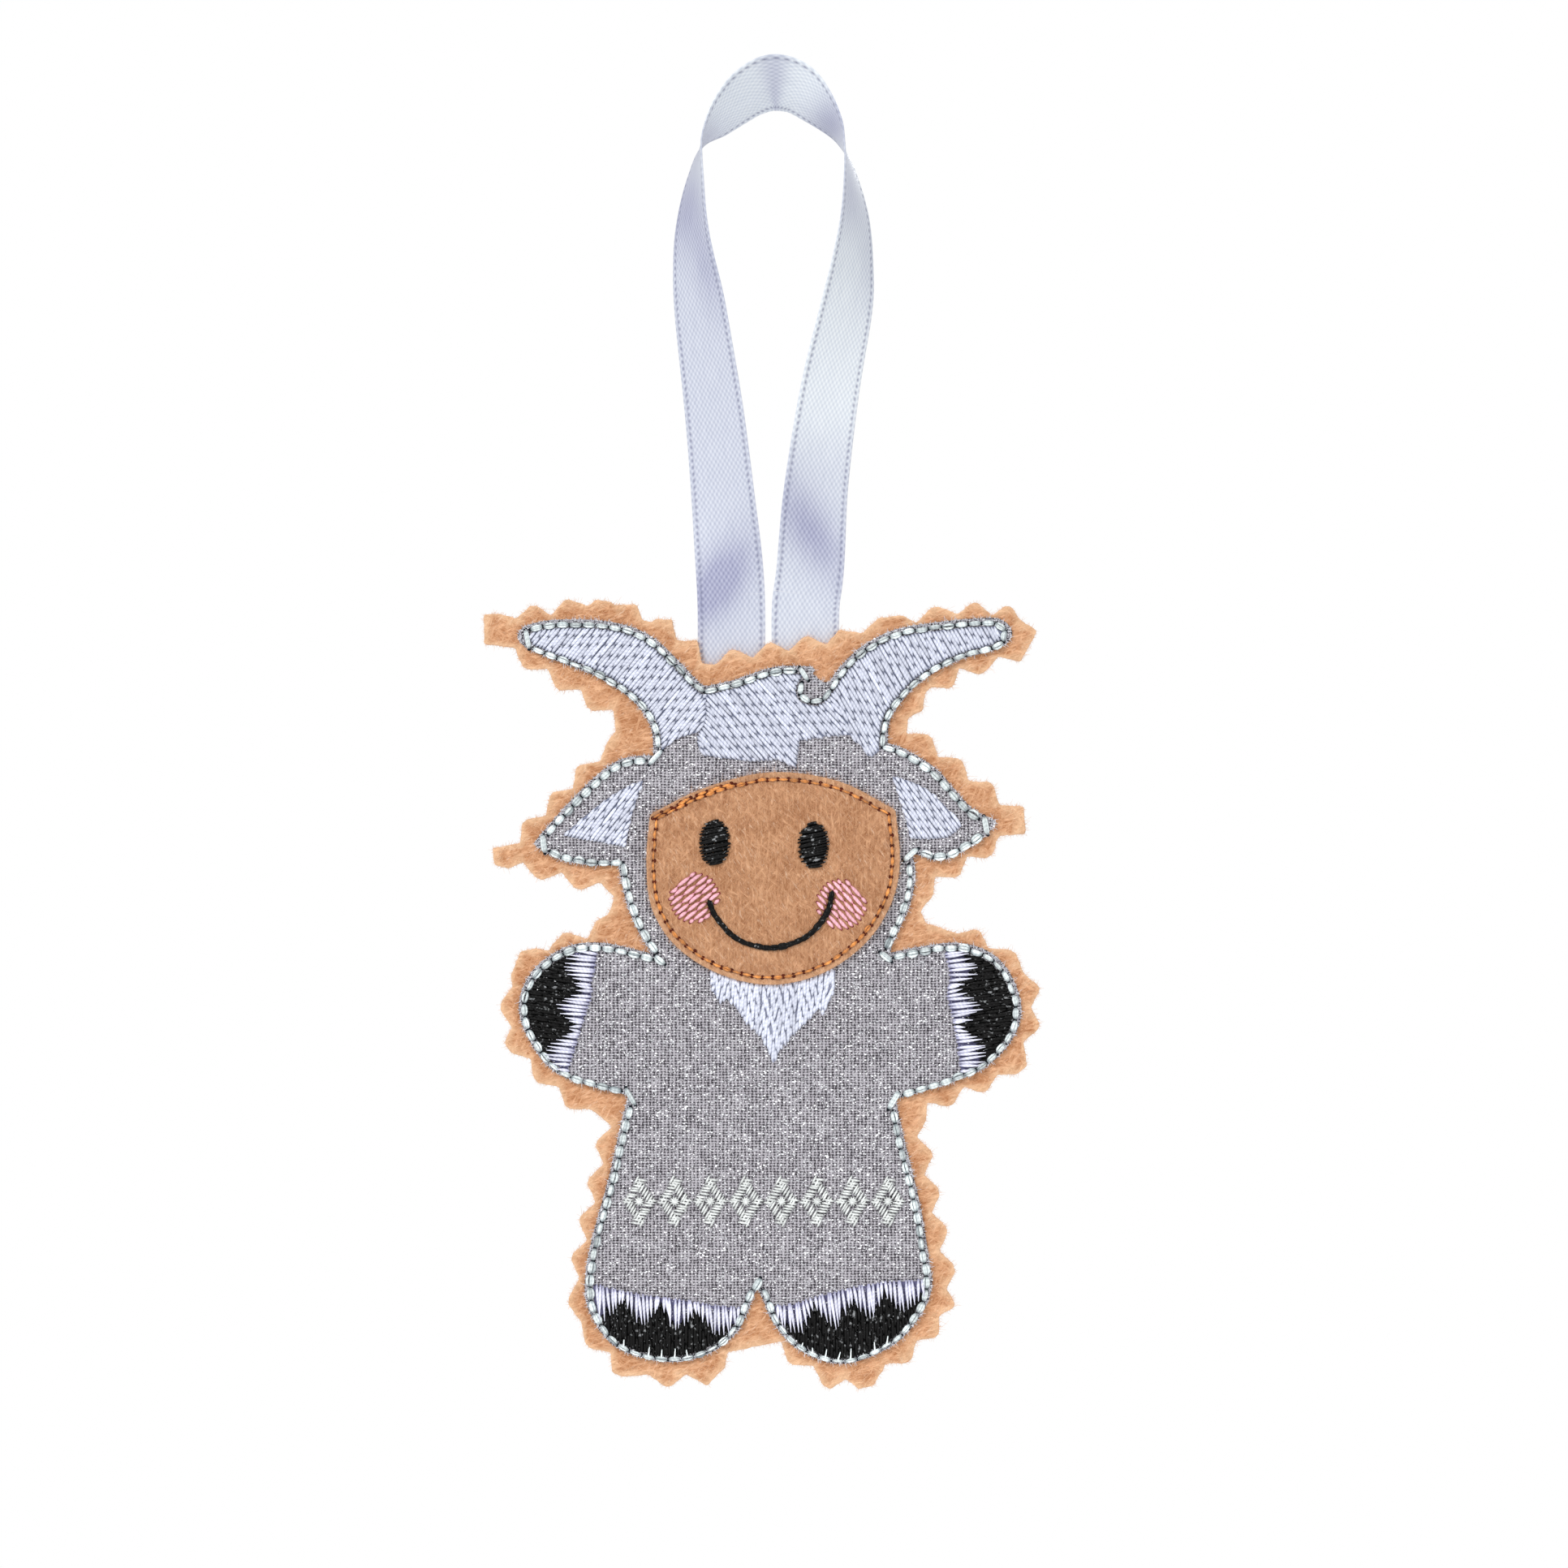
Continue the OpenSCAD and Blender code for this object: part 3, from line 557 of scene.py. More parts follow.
def rows_across(loops, angle, pitch):
    """Parallel lines over a shape, at an angle in degrees: (row number, place across, start, end) in the
    turned axes, and those axes."""
    along = np.array([math.cos(math.radians(angle)), math.sin(math.radians(angle))])
    across = np.array([-along[1], along[0]])
    turned = [np.stack([loop @ along, loop @ across], 1) for loop in loops]
    low = min(t[:, 1].min() for t in turned)
    high = max(t[:, 1].max() for t in turned)
    rows = []
    for number in range(int((high - low) / pitch) + 1):
        level = low + (number + 0.5) * pitch
        crossings = []
        for t in turned:
            for a, b in zip(t, np.roll(t, -1, 0)):
                if (a[1] > level) != (b[1] > level):
                    crossings.append(a[0] + (level - a[1]) * (b[0] - a[0]) / (b[1] - a[1]))
        crossings.sort()
        rows.extend((number, level, s, e) for s, e in zip(crossings[::2], crossings[1::2]))
    return rows, along, across


def cut_row(start, end, length, phase, least=0.7):
    """The needle points of one row: its two ends, and points at a fixed phase between them."""
    first = math.ceil((start + least) / length - phase)
    last = math.floor((end - least) / length - phase)
    return [start] + [(k + phase) * length for k in range(first, last + 1)] + [end]


# How a stitch rises out of its needle hole: mm from the hole, and the shares of its full width,
# height and brightness there. The brightness is painted shade where the thread dives into the hole
DIVE = np.array([(0, 0.3, 0.0, 0.1), (0.14, 0.5, 0.35, 0.25), (0.34, 0.75, 0.7, 0.6), (0.6, 0.93, 0.92, 0.92),
                 (0.95, 1, 1, 1)])

# The same for the strands of a seam, which rise more steeply, with the same painted shade at the holes
BEAN = np.array([(0, 0.35, 0.1, 0.05), (0.12, 0.6, 0.5, 0.3), (0.32, 0.85, 0.85, 0.75), (0.62, 1, 1, 1)])


def stitch_shape(length, dive=DIVE):
    """Places along a stitch, and its width, height and painted brightness there, darker near its holes."""
    scale = min(1.0, length / 2 / dive[-1, 0] * 0.98)
    places = np.concatenate([dive[:, 0] * scale, length - dive[::-1, 0] * scale])
    return places, *(np.concatenate([dive[:, i], dive[::-1, i]]) for i in (1, 2, 3))


# Rows shorter than this are left out of a fill
SHORTEST_ROW = 0.35


def fill(mesh, loops, depth, angle, pitch=0.5, length=4.2, step=0.4, width=0.54, rise=0.36, fray=(0.2, 0.2),
         dip=0.6, tone=0.5, hole_slot=None, hole=0.16, tilt=0.0):
    """Filled embroidery: rows of stitches whose needle points move on by a share of a stitch each row.
    fray is how far a row may overrun its start and its end, and tilt how far its stitches may lean."""
    rows, along, across = rows_across(loops, angle, pitch)
    bundle, holes = Bundle(), []
    for number, level, start, end in rows:
        if end - start < SHORTEST_ROW:
            continue
        start -= fray[0] * random.random()
        end += fray[1] * random.random()
        phase = (number * step + 0.05 * random.standard_normal()) % 1
        needles = cut_row(start, end, length, phase)
        row_tone = tone + 0.22 * random.standard_normal()
        for a, b in zip(needles, needles[1:]):
            places, w, h, bright = stitch_shape(b - a)
            sway = 0.07 * random.standard_normal() * np.sin(math.pi * places / (b - a))
            sway = sway + tilt * random.standard_normal() * (places - (b - a) / 2)
            flat = np.outer(a + places, along) + np.outer(level + sway, across)
            y = depth - 0.06 - (rise - 0.14) * h * min(1.0, (b - a) / 1.2) - 0.03 * random.random()
            stitch_tone = row_tone + 0.15 * random.standard_normal()
            # Painted shade: the stitch is darker, by dip, where it dives into its needle holes
            bundle.add(flat, y, width * w, 0.28 * (0.45 + 0.55 * h), stitch_tone, 1 - dip * (1 - bright))
        spots = np.outer(needles, along) + level * across
        holes.extend((x, depth - 0.1, z) for x, z in spots)
    bundle.lay(mesh)
    if hole_slot is not None:
        discs(mesh, holes, hole, hole_slot)


def under(mesh, loops, depth, slot):
    """The flat bed of stitches under a fill, seen only through its gaps. Under pale threads its darker colour
    is painted shade.
    """
    for loop in loops:
        flat, triangles, _ = filled(loop)
        mesh.add(at_depth(flat, depth), [triangles], slot)


def satin(mesh, loops, depth, angle, pitch=0.5, width=0.5, rise=0.42, spike=(0.0, 0.0), tone=0.5,
          edge_shade=(0.6, 0.9), point=0):
    """Satin stitches straight across a shape, with ends that stick out at random up to spike. They grow
    slimmer towards one end, and lie over what is there, if point is -1 (the start) or 1 (the end)."""
    rows, along, across = rows_across(loops, angle, pitch)
    share = np.linspace(0, 1, 9)
    body = np.sin(math.pi * np.clip(share, 0.03, 0.97)) ** 0.5
    towards = point * (2 * share - 1)
    slimmer = 1 - 0.6 * np.clip(towards + 0.2, 0, 1)
    # Painted shade: the rows are darker towards their ends, down to edge_shade at the start and at the end
    to_start, to_end = np.clip(np.stack([share, 1 - share]) * 4, 0, 1)
    shade = 1 - (1 - edge_shade[0]) * (1 - to_start) - (1 - edge_shade[1]) * (1 - to_end)
    bundle = Bundle()
    for _, level, start, end in rows:
        if end - start < 0.3:
            continue
        a = start - spike[0] * (0.5 + 0.5 * random.random())
        b = end + spike[1] * (0.5 + 0.5 * random.random())
        shift = pitch * 0.25 * random.standard_normal(2)
        lean = shift[0] * (1 - share) + shift[1] * share
        flat = np.outer(a + (b - a) * share, along) + np.outer(level + lean, across)
        y = depth - 0.06 - (rise - 0.15) * body * min(1.0, (b - a) / 2.5) - 0.05 * random.random()
        y = y - 0.24 * np.clip(0.3 + towards, 0, 1)
        bundle.add(flat, y, width * (0.25 + 0.75 * body) * slimmer, 0.3 * (0.4 + 0.6 * body),
                   tone + 0.25 * random.standard_normal(), shade)
    bundle.lay(mesh)


def run_of_stitches(mesh, stitches, depth, width, strand, rise, plies=3, hole_slot=None, hole=0.3, up=-1.0,
                    reach=0.02, spread=0.6, tone=0.5, dip=0.6, slack=0.07, share_at=lambda centre: 1.0):
    """A seam of bean stitches: each is a few strands between two needle holes, which its neighbours share.
    share_at gives the seam's width at a place, as a share of the full width."""
    bundle, holes = Bundle(), []
    for centre, direction, length in stitches:
        share_here = share_at(centre)
        thick = strand * share_here**0.7
        swing = (width * share_here - thick) / 2 * spread
        side = np.array([-direction[1], direction[0]])
        whole = length + 2 * reach
        places, w, h, bright = stitch_shape(whole, BEAN)
        arch = np.sin(math.pi * np.clip(places / whole, 0, 1)) ** 0.7
        for end in (-1, 1):
            spot = centre + direction * end * (length + 0.3) / 2 + side * 0.05 * random.standard_normal()
            holes.append((spot[0], depth + 0.06 * up, spot[1]))
        start = centre - direction * whole / 2
        stitch_tone = tone + 0.35 * random.standard_normal()
        for ply in range(plies):
            off = (ply - (plies - 1) / 2) / max(1, (plies - 1) / 2) * swing
            bow = off * (0.3 + 0.7 * arch) + slack * random.standard_normal() * arch
            lift = rise * (1.0 if ply == (plies - 1) // 2 else 0.8)
            # Painted shade: each strand is darker, by dip, where it dives into its needle holes
            bundle.add(
                start + np.outer(places, direction) + np.outer(bow, side),
                depth + up * (0.05 + (lift - thick * 0.3) * h),
                thick * w,
                thick * 0.75 * (0.45 + 0.55 * h),
                stitch_tone + 0.3 * random.standard_normal(),
                (1 - dip * (1 - bright)) * min(1.0, 0.9 + 0.2 * random.standard_normal()),
            )
    bundle.lay(mesh, up)
    if hole_slot is not None:
        discs(mesh, holes, hole, hole_slot, up)


def filled_piece(name, angle, material=WHITE, bed=UNDER_WHITE_SHADE, slot="thread_white", **how):
    """A patch of filled embroidery in the place of a CAD node."""
    mesh = Mesh()
    loops = node_loops(name)
    under(mesh, loops, CLOTH - 0.07, 1)
    fill(mesh, loops, CLOTH, angle, **how)
    mesh.piece(f"{name}_threads", "goat", [material, bed], name, slot)


# ---- felt and cloth ----


def fibres(mesh, roots, directions, lengths, thickness, curl):
    """Loose fibres or thread ends that curve away from their roots, in the mesh's second material."""
    count = len(roots)
    share = np.linspace(0, 1, 4)
    directions = directions / (np.linalg.norm(directions, axis=1, keepdims=True) + 1e-9)
    bend = random.standard_normal((count, 3)) * curl
    paths = (
        roots[:, None]
        + directions[:, None] * (lengths[:, None] * share)[..., None]
        + bend[:, None] * (lengths[:, None] * share**2)[..., None] * 0.5
    )
    widths = thickness * (1 - 0.6 * share)[None].repeat(count, 0)
    strands(mesh, paths, widths, widths, 1, sides=3, up=(0.13, -0.98, 0.15))


def slab(mesh, loop, front, back, edge=0.16, grid=1.6, relief=None, back_relief=None):
    """A soft-edged sheet of felt or cloth with the given outline, meshed finely enough to undulate.
    It returns the outline, anticlockwise, and its outward directions."""
    loop = anticlockwise(loop)
    out = normals(loop)
    size = len(loop)
    thick = back - front
    edge = min(edge, thick * 0.45)
    profile = [(edge, 0), (0.3 * edge, 0.3 * edge), (0, edge), (0, thick - edge),
               (0.3 * edge, thick - 0.3 * edge), (edge, thick)]
    rings = [loop - out * inset for inset, _ in profile]
    low, high = loop.min(0), loop.max(0)
    xs, zs = np.arange(low[0], high[0], grid), np.arange(low[1], high[1], grid)
    lattice = np.stack(np.meshgrid(xs, zs), -1).reshape(-1, 2)
    lattice = lattice + (random.random(lattice.shape) - 0.5) * grid * 0.5
    deep = inside(lattice, [loop - out * (edge + 0.25)])
    lattice = lattice[deep & inside(lattice, [loop])]
    points, faces = [], []
    for level, (inset, depth) in enumerate(profile):
        flat = rings[level]
        y = np.full(size, front + depth)
        if level == 0 and relief is not None:
            y = y + relief(flat)
        if level == len(profile) - 1 and back_relief is not None:
            y = y + back_relief(flat)
        points.append(at_depth(flat, y))
    ring = np.arange(size)
    after = (ring + 1) % size
    for level in range(len(profile) - 1):
        a, b = level * size, (level + 1) * size
        faces.append(np.stack([a + ring, b + ring, b + after, a + after], 1)[:, ::-1])
    base = len(profile) * size
    for level, shape in ((0, relief), (len(profile) - 1, back_relief)):
        flat, triangles, numbers = filled(rings[level], lattice)
        y = np.full(len(flat), front + profile[level][1])
        if shape is not None:
            y = y + shape(flat)
        # A point that comes from the ring is the ring's own vertex, so the sheet stays closed
        fresh = numbers < 0
        numbers = np.where(fresh, base + np.cumsum(fresh) - 1, level * size + numbers)
        triangles = numbers[triangles]
        faces.append(triangles if level == 0 else triangles[:, ::-1])
        points.append(at_depth(flat[fresh], y[fresh]))
        base += fresh.sum()
    points = np.concatenate(points)
    # shade is 1 on the rim's rings, where a felt is painted paler
    mesh.add(points, faces, shade=np.arange(len(points)) < len(profile) * size)
    return loop, out


def edge_fuzz(mesh, loop, out, front, back, per_mm, reach, thickness=0.05, inset=0.12):
    """Fibres along a cut edge, pointing mostly outwards, with roots up to inset inside it."""
    steps = np.linalg.norm(np.roll(loop, -1, 0) - loop, axis=1)
    count = int(steps.sum() * per_mm)
    chosen = random.choice(len(loop), count, p=steps / steps.sum())
    share = random.random(count)[:, None]
    flat = loop[chosen] * (1 - share) + np.roll(loop, -1, 0)[chosen] * share
    y = front + (back - front) * random.random(count)
    flat = flat - out[chosen] * np.maximum(0.12, inset * random.random((count, 1)))
    roots = at_depth(flat, y)
    heading = at_depth(out[chosen], 0)
    heading = heading + random.standard_normal((count, 3)) * np.array([0.7, 0.45, 0.7])
    fibres(mesh, roots, heading, reach * (0.35 + 0.65 * random.random(count)), thickness, 0.8)


def surface_fuzz(mesh, loop, away, depth, count, angle, reach, thickness=0.05, up=-1.0):
    """Fibres that lie on a felt's face near the given angle. away is a shape they stay out of."""
    low, high = loop.min(0), loop.max(0)
    spots = low + random.random((count * 4, 2)) * (high - low)
    keep = inside(spots, [loop])
    if away is not None:
        keep &= ~inside(spots, [away])
    spots = spots[keep][:count]
    turn = angle + 0.35 * random.standard_normal(len(spots))
    roots = at_depth(spots, depth + 0.01 * up)
    heading = np.stack([np.cos(turn), 0.1 * up * random.random(len(spots)), np.sin(turn)], 1)
    lengths = reach * (0.4 + 0.6 * random.random(len(spots)))
    fibres(mesh, roots, heading, lengths, thickness, 0.35)


# ---- the goat: felts and cotton ----

seam_stitches = stitches_of("outline_stitches")
seam_tree = KDTree(len(seam_stitches))
for i, (seam_centre, _, _) in enumerate(seam_stitches):
    seam_tree.insert((seam_centre[0], 0, seam_centre[1]), i)
seam_tree.balance()


def near_seam(points, reach):
    """From 1 at the outline seam down to 0 a few reaches away."""
    return np.array([math.exp(-((seam_tree.find((x, 0, z))[2] / reach) ** 2)) for x, z in points])


def cotton_relief(points):
    """The quilted cotton: pressed down by the seam, and a little wavy between."""
    return 0.1 * near_seam(points, 1.1) - 0.07 * ripple(points, 0.22) - 0.03 * ripple(points, 0.8, 3.1)


def felt_relief(points):
    return 0.12 * near_seam(points, 1.6) - 0.09 * ripple(points, 0.3, 5.2) - 0.05 * ripple(points, 0.9, 1.7)


def back_relief(points):
    """The back felt, with the seam sunk in it."""
    return -0.34 * near_seam(points, 0.95) + 0.09 * ripple(points, 0.3, 8.2) + 0.04 * ripple(points, 0.9, 2.7)


def face_relief(points):
    return -0.06 * ripple(points, 0.3, 4.2) - 0.04 * ripple(points, 1.0, 6.7)


def over_tails(points):
    """The back felt's inner face, pressed back where the ribbon's tails lie."""
    x, z = points.T
    half = TAIL_ROOM / 2
    tails = (np.abs(x - LEFT_TAIL_X) < half) | (np.abs(x - RIGHT_TAIL_X) < half)
    return np.where(tails & (z > TAIL_END_Z - 0.7), POCKET_DEPTH, 0.005)


def pinked(loop):
    """A pinked edge as felt takes it: the teeth a little blunt and uneven."""
    blunt = softer(softer(finer(anticlockwise(loop), 0.9)))
    return blunt + normals(blunt) * 0.13 * ripple(blunt, 0.9, 7.7)[:, None]


def glitter(mesh, loop, count, slot):
    """Flakes of glitter strewn over the cotton, most of them small, tilted every way."""
    flakes = loop.min(0) + random.random((count, 2)) * np.ptp(loop, axis=0)
    flakes = flakes[inside(flakes, [loop])]
    tilt = random.standard_normal((len(flakes), 2)) * 0.35
    size = 0.075 + 0.16 * random.random(len(flakes)) ** 2
    spin = random.random(len(flakes)) * math.pi
    turns = spin[:, None] + np.array([0, 0.25, 0.5, 0.75]) * TURN
    corner_x, corner_z = np.cos(turns) * size[:, None], np.sin(turns) * size[:, None] * 0.65
    corner_y = CLOTH - 0.07 + corner_x * tilt[:, :1] + corner_z * tilt[:, 1:] + cotton_relief(flakes)[:, None]
    corners = np.stack([flakes[:, :1] + corner_x, corner_y, flakes[:, 1:] + corner_z], -1)
    tones = np.zeros((len(flakes), 4, 3))
    tones[:, :, 2] = random.random(len(flakes))[:, None]
    mesh.add(corners, [np.arange(len(flakes) * 4).reshape(-1, 4)], slot, tones.reshape(-1, 3))


# Two faces of a sheet that meet at a wider angle than this, in radians, have a sharp edge between them
CREASE = 0.36
felt_loop = pinked(node_loops("front_felt")[0])
cotton_loop = finer(node_loops("body_fabric")[0], 0.8)
face_loop = finer(node_loops("face_felt")[0], 0.8)
stabiliser_loop = finer(node_loops("stabiliser")[0], 1.5)

front = Mesh()
loop, out = slab(front, felt_loop, FELT_FRONT, 0.0, relief=felt_relief)
edge_fuzz(front, loop, out, FELT_FRONT, 0.0, 9, 0.6)
surface_fuzz(front, loop, cotton_loop, FELT_FRONT, 3200, 0.2, 1.5)
piece = front.piece("front_felt_cloth", "goat", [CAMEL, CAMEL_FIBRE], "front_felt", "camel_felt", CREASE)

back = Mesh()
loop, out = slab(back, felt_loop, 0.0, BACK, relief=over_tails, back_relief=back_relief)
edge_fuzz(back, loop, out, 0.0, BACK, 6, 0.6)
surface_fuzz(back, loop, None, BACK, 3200, 1.0, 1.5, up=1.0)
piece = back.piece("back_felt_cloth", "goat", [CAMEL_BACK, CAMEL_FIBRE], "back_felt", "camel_felt", CREASE)

stabiliser = Mesh()
slab(stabiliser, stabiliser_loop, -0.2, -0.01, edge=0.05, grid=3.0)
piece = stabiliser.piece("stabiliser_sheet", "goat", [NONWOVEN], "stabiliser", "stabiliser_white")

cotton = Mesh()
loop, out = slab(cotton, cotton_loop, CLOTH, FELT_FRONT, edge=0.1, grid=1.1, relief=cotton_relief)
edge_fuzz(cotton, loop, out, CLOTH - 0.22, CLOTH + 0.02, 10, 0.6, 0.11, 0.75)
glitter(cotton, loop, 38000, 2)
piece = cotton.piece("body_fabric_cloth", "goat", [COTTON, COTTON_END, GLITTER], "body_fabric",
                     "glitter_cotton", CREASE)

face = Mesh()
loop, out = slab(face, face_loop, FACE, CLOTH, relief=face_relief)
edge_fuzz(face, loop, out, FACE, CLOTH, 9, 0.45, 0.045)
surface_fuzz(face, loop, None, FACE, 3800, 1.5, 1.5, 0.045)
piece = face.piece("face_felt_cloth", "goat", [TAN, TAN_FIBRE], "face_felt", "face_felt", CREASE)

# ---- the goat: embroidery ----

filled_piece("horn_left", 50)
filled_piece("horn_right", -60, step=0.6)
filled_piece("forelock", -48, step=0.6, fray=(0.3, 0.3))
filled_piece("ear_inner_left", 52, length=3.6, dip=0.4, tone=0.66)
filled_piece("ear_inner_right", -54, length=3.6, step=0.6, dip=0.4, tone=0.66)
filled_piece("beard", 86, bed=UNDER_BEARD_SHADE, length=3.1, step=0.37, pitch=0.42, fray=(0.5, 0.5),
             dip=0.3, tilt=0.1, tone=0.75)

# name, angle in degrees, and how far the rows run under the outline seam or the cuff at their two ends
HOOVES = (
    ("hoof_hand_left", -8, (0.4, 1.2)),
    ("hoof_hand_right", 8, (1.2, 0.4)),
    ("hoof_foot_left", 90, (0.4, 1.2)),
    ("hoof_foot_right", 90, (0.4, 1.2)),
)
for name, angle, fray in HOOVES:
    filled_piece(name, angle, BLACK, UNDER_BLACK, "thread_black", pitch=0.42, length=3.4, fray=fray,
                 width=0.5)

# name, angle in degrees, how far the ends stick out at the start and the end of a row, and their shades,
# which are painted shade: the darker end is the lavender shade at the cuff's inner edge
CUFFS = (
    ("cuff_hand_left", -6, (0.9, 0.3), (1.0, 0.3)),
    ("cuff_hand_right", 6, (0.3, 0.9), (0.3, 1.0)),
    ("cuff_foot_left", 92, (0.9, 0.35), (1.0, 0.3)),
    ("cuff_foot_right", 96, (0.9, 0.35), (1.0, 0.3)),
)
for name, angle, spike, shades in CUFFS:
    cuff = Mesh()
    under(cuff, node_loops(name), CLOTH - 0.05, 1)
    satin(cuff, node_loops(name), CLOTH - 0.12, angle, pitch=0.6, width=0.54, spike=spike,
          edge_shade=shades, tone=0.65, point=1 if spike[1] > spike[0] else -1)
    cuff.piece(f"{name}_threads", "goat", [CUFF, UNDER_CUFF_SHADE], name, "thread_white")

for name in ("eye_left", "eye_right"):
    eye = Mesh()
    under(eye, node_loops(name), FACE - 0.1, 1)
    satin(eye, node_loops(name), FACE, 12, pitch=0.4, spike=(0.5, 0.5), edge_shade=(1, 1))
    eye.piece(f"{name}_threads", "goat", [BLACK, UNDER_BLACK], name, "thread_black")

for name, angle in (("cheek_left", 38), ("cheek_right", -48)):
    cheek = Mesh()
    fill(cheek, node_loops(name), FACE, angle, pitch=0.78, length=2.4, step=0.5, width=0.56,
         hole_slot=1, hole=0.2, dip=0.5)
    cheek.piece(f"{name}_threads", "goat", [PINK, HOLE_SHADE_CHEEK], name, "thread_pink")


def smile_run():
    """The smile's stitches: an arc that ends on the cheeks."""
    centre, radius = np.array([-0.1, -118.2]), 9.5
    turns = np.radians(np.linspace(195, 353, 22))
    spots = centre + radius * np.stack([np.cos(turns), np.sin(turns)], 1)
    lengths = np.linalg.norm(np.diff(spots, axis=0), axis=1)
    return [((a + b) / 2, (b - a) / length, length) for a, b, length in zip(spots, spots[1:], lengths)]


smile = Mesh()
run_of_stitches(smile, smile_run(), FACE, 1.0, 0.52, 0.45, reach=0.3, spread=0.8, tone=0.3, dip=0.1)
smile.piece("smile_threads", "goat", [BLACK], "smile", "thread_black")


def diamond_strands(loop):
    """The ends of the strands across the four sides of a diamond's outline."""
    x, z = loop.T
    corners = [loop[np.argmin(x)], loop[np.argmax(z)], loop[np.argmax(x)], loop[np.argmin(z)]]
    middle = np.mean(corners, 0)
    made = []
    for a, b in zip(corners, corners[1:] + corners[:1]):
        side = (b - a) / np.linalg.norm(b - a)
        inward = np.array([-side[1], side[0]])
        inward = inward if (middle - a) @ inward > 0 else -inward
        slant = side * 0.35
        count = int(np.linalg.norm(b - a) / 0.5)
        for k in range(count):
            spot = a + (b - a) * (k + 0.3 + 0.4 * random.random()) / count
            inner = spot + inward * (1.2 + 0.25 * random.random()) + slant
            made.append((inner, spot - inward * 0.1 * random.random() - slant))
    return made


def star_strands(centre):
    """The ends of five strands that cross in the middle of a diamond."""
    turns = np.radians(np.arange(0, 180, 36))
    steps = 0.75 * np.stack([np.cos(turns), np.sin(turns)], 1)
    return [(centre - step, centre + step) for step in steps]


def motif_strands():
    """Each diamond of the motif has an outer outline, a hole, which is passed over, and a small star."""
    made = []
    for loop in node_loops("belly_motif"):
        height = np.ptp(loop[:, 1])
        if height < 2:
            made.extend(star_strands(loop.mean(0)))
        elif height >= 7:
            made.extend(diamond_strands(loop))
    return np.array(made)


motif = Mesh()
motif_ends = motif_strands()
share = np.linspace(0, 1, 6)
arch = np.sin(math.pi * np.clip(share, 0.04, 0.96)) ** 0.6
flat = motif_ends[:, :1] + (motif_ends[:, 1:] - motif_ends[:, :1]) * share[None, :, None]
y = CLOTH - 0.05 - 0.3 * arch[None] - 0.06 * random.random((len(motif_ends), 1))
tones = 0.5 + 0.3 * random.standard_normal(len(motif_ends))
# Painted shade: each strand is darker towards its ends, where it dives into the cloth
strands(motif, at_depth(flat, y), 0.36 * (0.35 + 0.65 * arch),
        0.26 * (0.4 + 0.6 * arch), 0, tones, 1 - 0.4 * (1 - arch))
motif.piece("belly_motif_threads", "goat", [MOTIF], "belly_motif", "thread_silver")

# Where the outline seam changes: at the feet's hooves, the horns, and the hands out beyond HANDS_X
HOOF_TOP_Z = -184.5
HORNS_Z = -99
SHOULDER_Z = -126
HANDS_X = 32


def seam_share(centre):
    """The outline seam is drawn in tight round the hooves, and is slimmer on the horns and the hands."""
    x, z = centre
    if z < HOOF_TOP_Z:
        return 0.6
    return 0.8 if z > HORNS_Z or abs(x) > HANDS_X and z < SHOULDER_Z else 1.0


def pulled_loops(mesh):
    """Loops of the seam's thread that were pulled up over the black of the feet."""
    feet = [centre for centre, _, _ in seam_stitches if centre[1] < HOOF_TOP_Z - 3]
    s = np.linspace(0, 1, 6)
    paths = []
    for i in random.choice(len(feet), int(len(feet) * 0.8), replace=False):
        x, z = feet[i]
        rise = 0.7 + 1.2 * random.random()
        lean = 0.25 * random.standard_normal() * rise
        flat = np.stack([x + lean * s, z + rise * s], 1)
        paths.append(at_depth(flat, CLOTH - 0.38 - 0.2 * np.sin(2.2 * s)))
    strands(mesh, paths, np.linspace(0.32, 0.14, 6), 0.2, 0, 1.4)


seam = Mesh()
run_of_stitches(seam, seam_stitches, CLOTH, 1.2, 0.46, 0.5, hole_slot=1, hole=0.28, spread=0.9, dip=0.8,
                slack=0.1, tone=0.7, share_at=seam_share)
pulled_loops(seam)
seam.piece("outline_seam", "goat", [SILVER, HOLE_SHADE], "outline_stitches", "thread_silver")

back_seam = Mesh()
run_of_stitches(back_seam, stitches_of("outline_stitches_back", 1), BACK - 0.38, 0.8, 0.45, 0.36, up=1.0,
                plies=2, hole_slot=1, hole=0.22)
back_seam.piece("outline_seam_back", "goat", [BOBBIN, HOLE_SHADE], "outline_stitches_back", "thread_white")


def doubled(stitches):
    """A second row above the face seam's left shoulder, where the seam starts and ends."""
    made = []
    for centre, direction, length in stitches:
        if centre[0] < -5 and centre[1] > -108.5:
            side = np.array([-direction[1], direction[0]])
            side = side if side[1] > 0 else -side
            made.append((centre + side * 0.42 + direction * 0.5, direction, length))
    return stitches + made


face_seam = Mesh()
run_of_stitches(face_seam, doubled(stitches_of("face_stitches")), FACE, 0.6, 0.36, 0.28, plies=2, hole_slot=1,
                hole=0.34, spread=1.0)
face_seam.piece("face_seam", "goat", [ORANGE, HOLE_SHADE_FACE], "face_stitches", "thread_orange")

# ---- the ribbon ----

# The ribbon's width over its picots, its thickness, its depth, and the distance from picot to picot
RIBBON_WIDTH = 10.3
RIBBON_THICK = 0.24
RIBBON_MIDDLE = 0.15
PICOT_PITCH = 1.02
